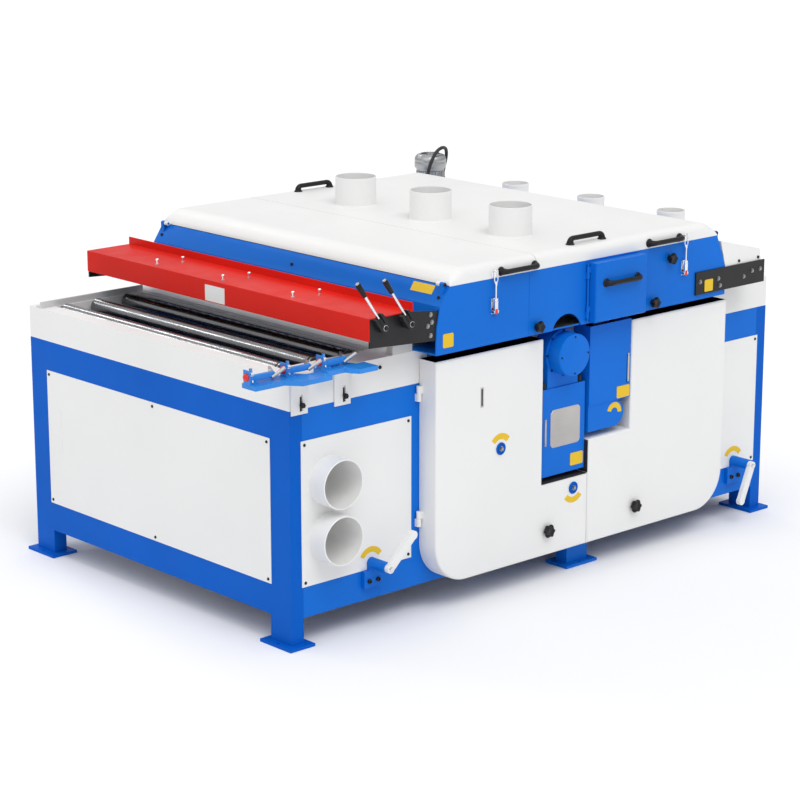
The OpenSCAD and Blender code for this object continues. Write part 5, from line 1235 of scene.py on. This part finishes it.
# Black bars on the cowl's top stand for its vent slots: their black is painted shade of the openings.
vent = bmesh.new()
block(vent, (18, -1.7, 1413.6), (44, 1.7, 1416.2))
ring_piece("lift_cowl_vents", vent, 16, LIFT_AXIS, UP, "root", "black_plastic", black_paint)
fin = bmesh.new()
block(fin, (59, -1.3, 1142), (66, 1.3, 1334))
ring_piece("lift_motor_fins", fin, 30, LIFT_AXIS, UP, "root", "grey_paint", motor_paint)
boxes = [((1037, LIFT_Y - 35, 1190), (1072, LIFT_Y + 35, 1280)),
         ((1070, LIFT_Y - 33, 1192), (1081, LIFT_Y + 33, 1278))]
block_piece("terminal_box", boxes, "root", "grey_paint", motor_paint, bevel=3)
turned_piece("terminal_gland", [at(1059, LIFT_Y, 1279)], UP,
             [(0, 0), (12, 0), (12, 8), (10.4, 8.6), (10.4, 18), (7.4, 19), (0, 19)], 6,
             "root", "black_plastic", black_plastic)

# %% Conduit
CONDUIT_POINTS = (
    (1059, 911, 1298.3), (1060, 911, 1322), (1066, 909, 1350), (1070, 904, 1381), (1064, 894, 1411),
    (1045, 880, 1433), (1015, 864, 1443), (982, 850, 1443), (950, 839, 1433), (923, 833, 1410),
    (904, 833, 1378), (893, 836, 1342), (887, 840, 1300), (888, 844, 1245), (896, 845, 1185),
    (903, 845, 1130), (905, 845, 1080), (905, 845, 1033.3))
CONDUIT_RADIUS = 8


def smooth_route(points, steps):
    """A curve through every point, in even small steps."""
    made = []
    for i in range(len(points) - 1):
        a, b, c, d = (Vector(points[min(max(i + k, 0), len(points) - 1)]) for k in (-1, 0, 1, 2))
        for k in range(steps):
            t = k / steps
            square = 2 * a - 5 * b + 4 * c - d
            cube = 3 * b - a - 3 * c + d
            made.append(0.5 * (2 * b + (c - a) * t + square * t ** 2 + cube * t ** 3))
    made.append(Vector(points[-1]))
    return [p * MM for p in made]


route = smooth_route(CONDUIT_POINTS, 16)
hose = bmesh.new()
sweep(hose, route, CONDUIT_RADIUS, 20)
conduit = new_piece("smooth_conduit", hose, "root", "rubber", rubber, "motor_conduit", degrees=60)

# %% [markdown]
# ## Saw drive
# Behind the doors and under the lids sit two arbors with toothed blades, grooved pulleys, finned motors
# and the feed rollers. They show when the lids and doors are open. A blade is one toothed outline, set
# out in a row on its arbor.

# %% Arbors, blades and pulleys
TOOTH = ((0.0, 0), (0.16, 1.5), (0.34, 9), (0.62, 10), (0.9, 3))
BLADE_COUNT, FIRST_BLADE_Y, BLADE_STEP = 6, -627, 250.8


def toothed_blade(radius, teeth):
    bm = bmesh.new()
    outline = []
    for k in range(teeth):
        for share, depth in TOOTH:
            a = 2 * math.pi * (k + share) / teeth
            r = radius - depth
            outline.append(at(r * math.cos(a), -1.6, r * math.sin(a)))
    slab(bm, outline, at(0, 3.2, 0))
    lathe(bm, at(0, -2.5, 0), FAR, [(0, 0), (52, 0), (52, 5), (0, 5)], 32)
    return bm


def grooves(radius, start, end, count=3):
    """The rim of a belt pulley, groove by groove."""
    step = (end - start) / count
    rim = [(radius - 2, start), (radius, start + 1.5)]
    for k in range(count):
        low = start + k * step
        rim += [(radius, low + 2), (radius - 7, low + 0.42 * step),
                (radius - 7, low + 0.58 * step), (radius, low + step - 2)]
    return rim + [(radius, end - 1.5), (radius - 2, end)]


def make_arbor(node, x, z, blade_r, teeth):
    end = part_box(node)[1].y / MM
    profile = [(0, PULLEY_LOW)] + grooves(60, PULLEY_LOW, PULLEY_HIGH)
    profile += [(30, PULLEY_HIGH), (30, -669), (41, -669), (42, -668), (42, 668), (41, 669), (30, 669),
                (30, end - 1), (29, end), (0, end)]
    turned_piece(node + "_shaft", [at(x, 0, z)], FAR, profile, 48,
                 node, "bare_steel", flat_steel, node, degrees=15)
    row_piece(node + "_blades", toothed_blade(blade_r, teeth), BLADE_COUNT, at(x, FIRST_BLADE_Y, z),
              at(0, BLADE_STEP, 0), node, "bare_steel", blade_steel)


make_arbor("lower_arbor", *LOWER_ARBOR, 150, 30)
make_arbor("upper_arbor", *UPPER_ARBOR, 98, 22)
for node, (x, z) in zip(("lower_motor_pulley", "upper_motor_pulley"), MOTOR_AXES):
    profile = [(0, PULLEY_LOW)] + grooves(66, PULLEY_LOW, PULLEY_HIGH)
    profile += [(19, PULLEY_HIGH), (19, -735), (0, -735)]
    turned_piece(node + "_wheel", [at(x, 0, z)], FAR, profile, 48, node, "bare_steel", flat_steel, node)
skin("drive_belts", 1.2 * MM)
print("arbors with", BLADE_COUNT, "blades each")

# %% Main motors
BASE_LOW, BASE_TOP = 238, 258
MOTOR_PROFILE = [
    (19.5, -751), (60, -753), (96, -751), (108, -744), (110, -738), (110, -712), (98, -708), (98, -452),
    (111, -450), (112, -447), (112, -366), (108, -353), (90, -346), (40, -345), (0, -345)]
frames = bmesh.new()
block(frames, (-395, -765, BASE_LOW), (540, -333, BASE_TOP))
for x, z in MOTOR_AXES:
    lathe(frames, at(x, 0, z), FAR, MOTOR_PROFILE, 56)
    block(frames, (x - 95, -735, BASE_TOP), (x - 72, -365, z - 66))
    block(frames, (x + 72, -735, BASE_TOP), (x + 95, -365, z - 66))
    block(frames, (x - 80, -700, 262), (x + 80, -690, z - 100))
    block(frames, (x - 95, -735, BASE_TOP), (x + 95, -365, 272))
for x, z in ADJUSTERS:
    block(frames, (x - 22, -765, BASE_TOP), (x + 22, -743, z + 22))
new_piece("main_motor_frames", frames, "root", "grey_paint", motor_paint, "main_motors", bevel=2)
for k, (x, z) in enumerate(MOTOR_AXES, 1):
    fin = bmesh.new()
    block(fin, (96, -1.6, 0), (110, 1.6, 252))
    ring_piece("main_motor_fins_%d" % k, fin, 40, at(x, -706, z), FAR,
               "root", "grey_paint", motor_paint)


# %% Feed and pressure rollers
RIDGE_COUNT, RIDGE_STEP, FIRST_RIDGE_Y = 47, 30, -704
DRUM_R, DRUM_HALF, JOURNAL_R = 50, 720, 20


def long_roller(node, x, z, material, slot, ridged):
    low, high = (c.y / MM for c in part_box(node))
    profile = [(0, low), (JOURNAL_R - 1, low), (JOURNAL_R, low + 1), (JOURNAL_R, -DRUM_HALF),
               (DRUM_R - 3, -DRUM_HALF), (DRUM_R, 3 - DRUM_HALF)]
    if ridged:
        for k in range(RIDGE_COUNT):
            y = FIRST_RIDGE_Y + k * RIDGE_STEP
            profile += [(DRUM_R, y), (48.6, y + 1.5), (48.6, y + 4.5), (DRUM_R, y + 6)]
    profile += [(DRUM_R, DRUM_HALF - 3), (DRUM_R - 3, DRUM_HALF), (JOURNAL_R, DRUM_HALF),
                (JOURNAL_R, high - 1), (JOURNAL_R - 1, high), (0, high)]
    turned_piece(node + "_drum", [at(x, 0, z)], FAR, profile, 56, node, slot, material, node, degrees=15)


for way, x in (("in", -480), ("out", 560)):
    long_roller("feed_roller_" + way, x, 996, roller_steel, "bare_steel", True)
    long_roller("pressure_roller_" + way, x, 1156, rubber, "rubber", False)
print("feed and pressure rollers in place")
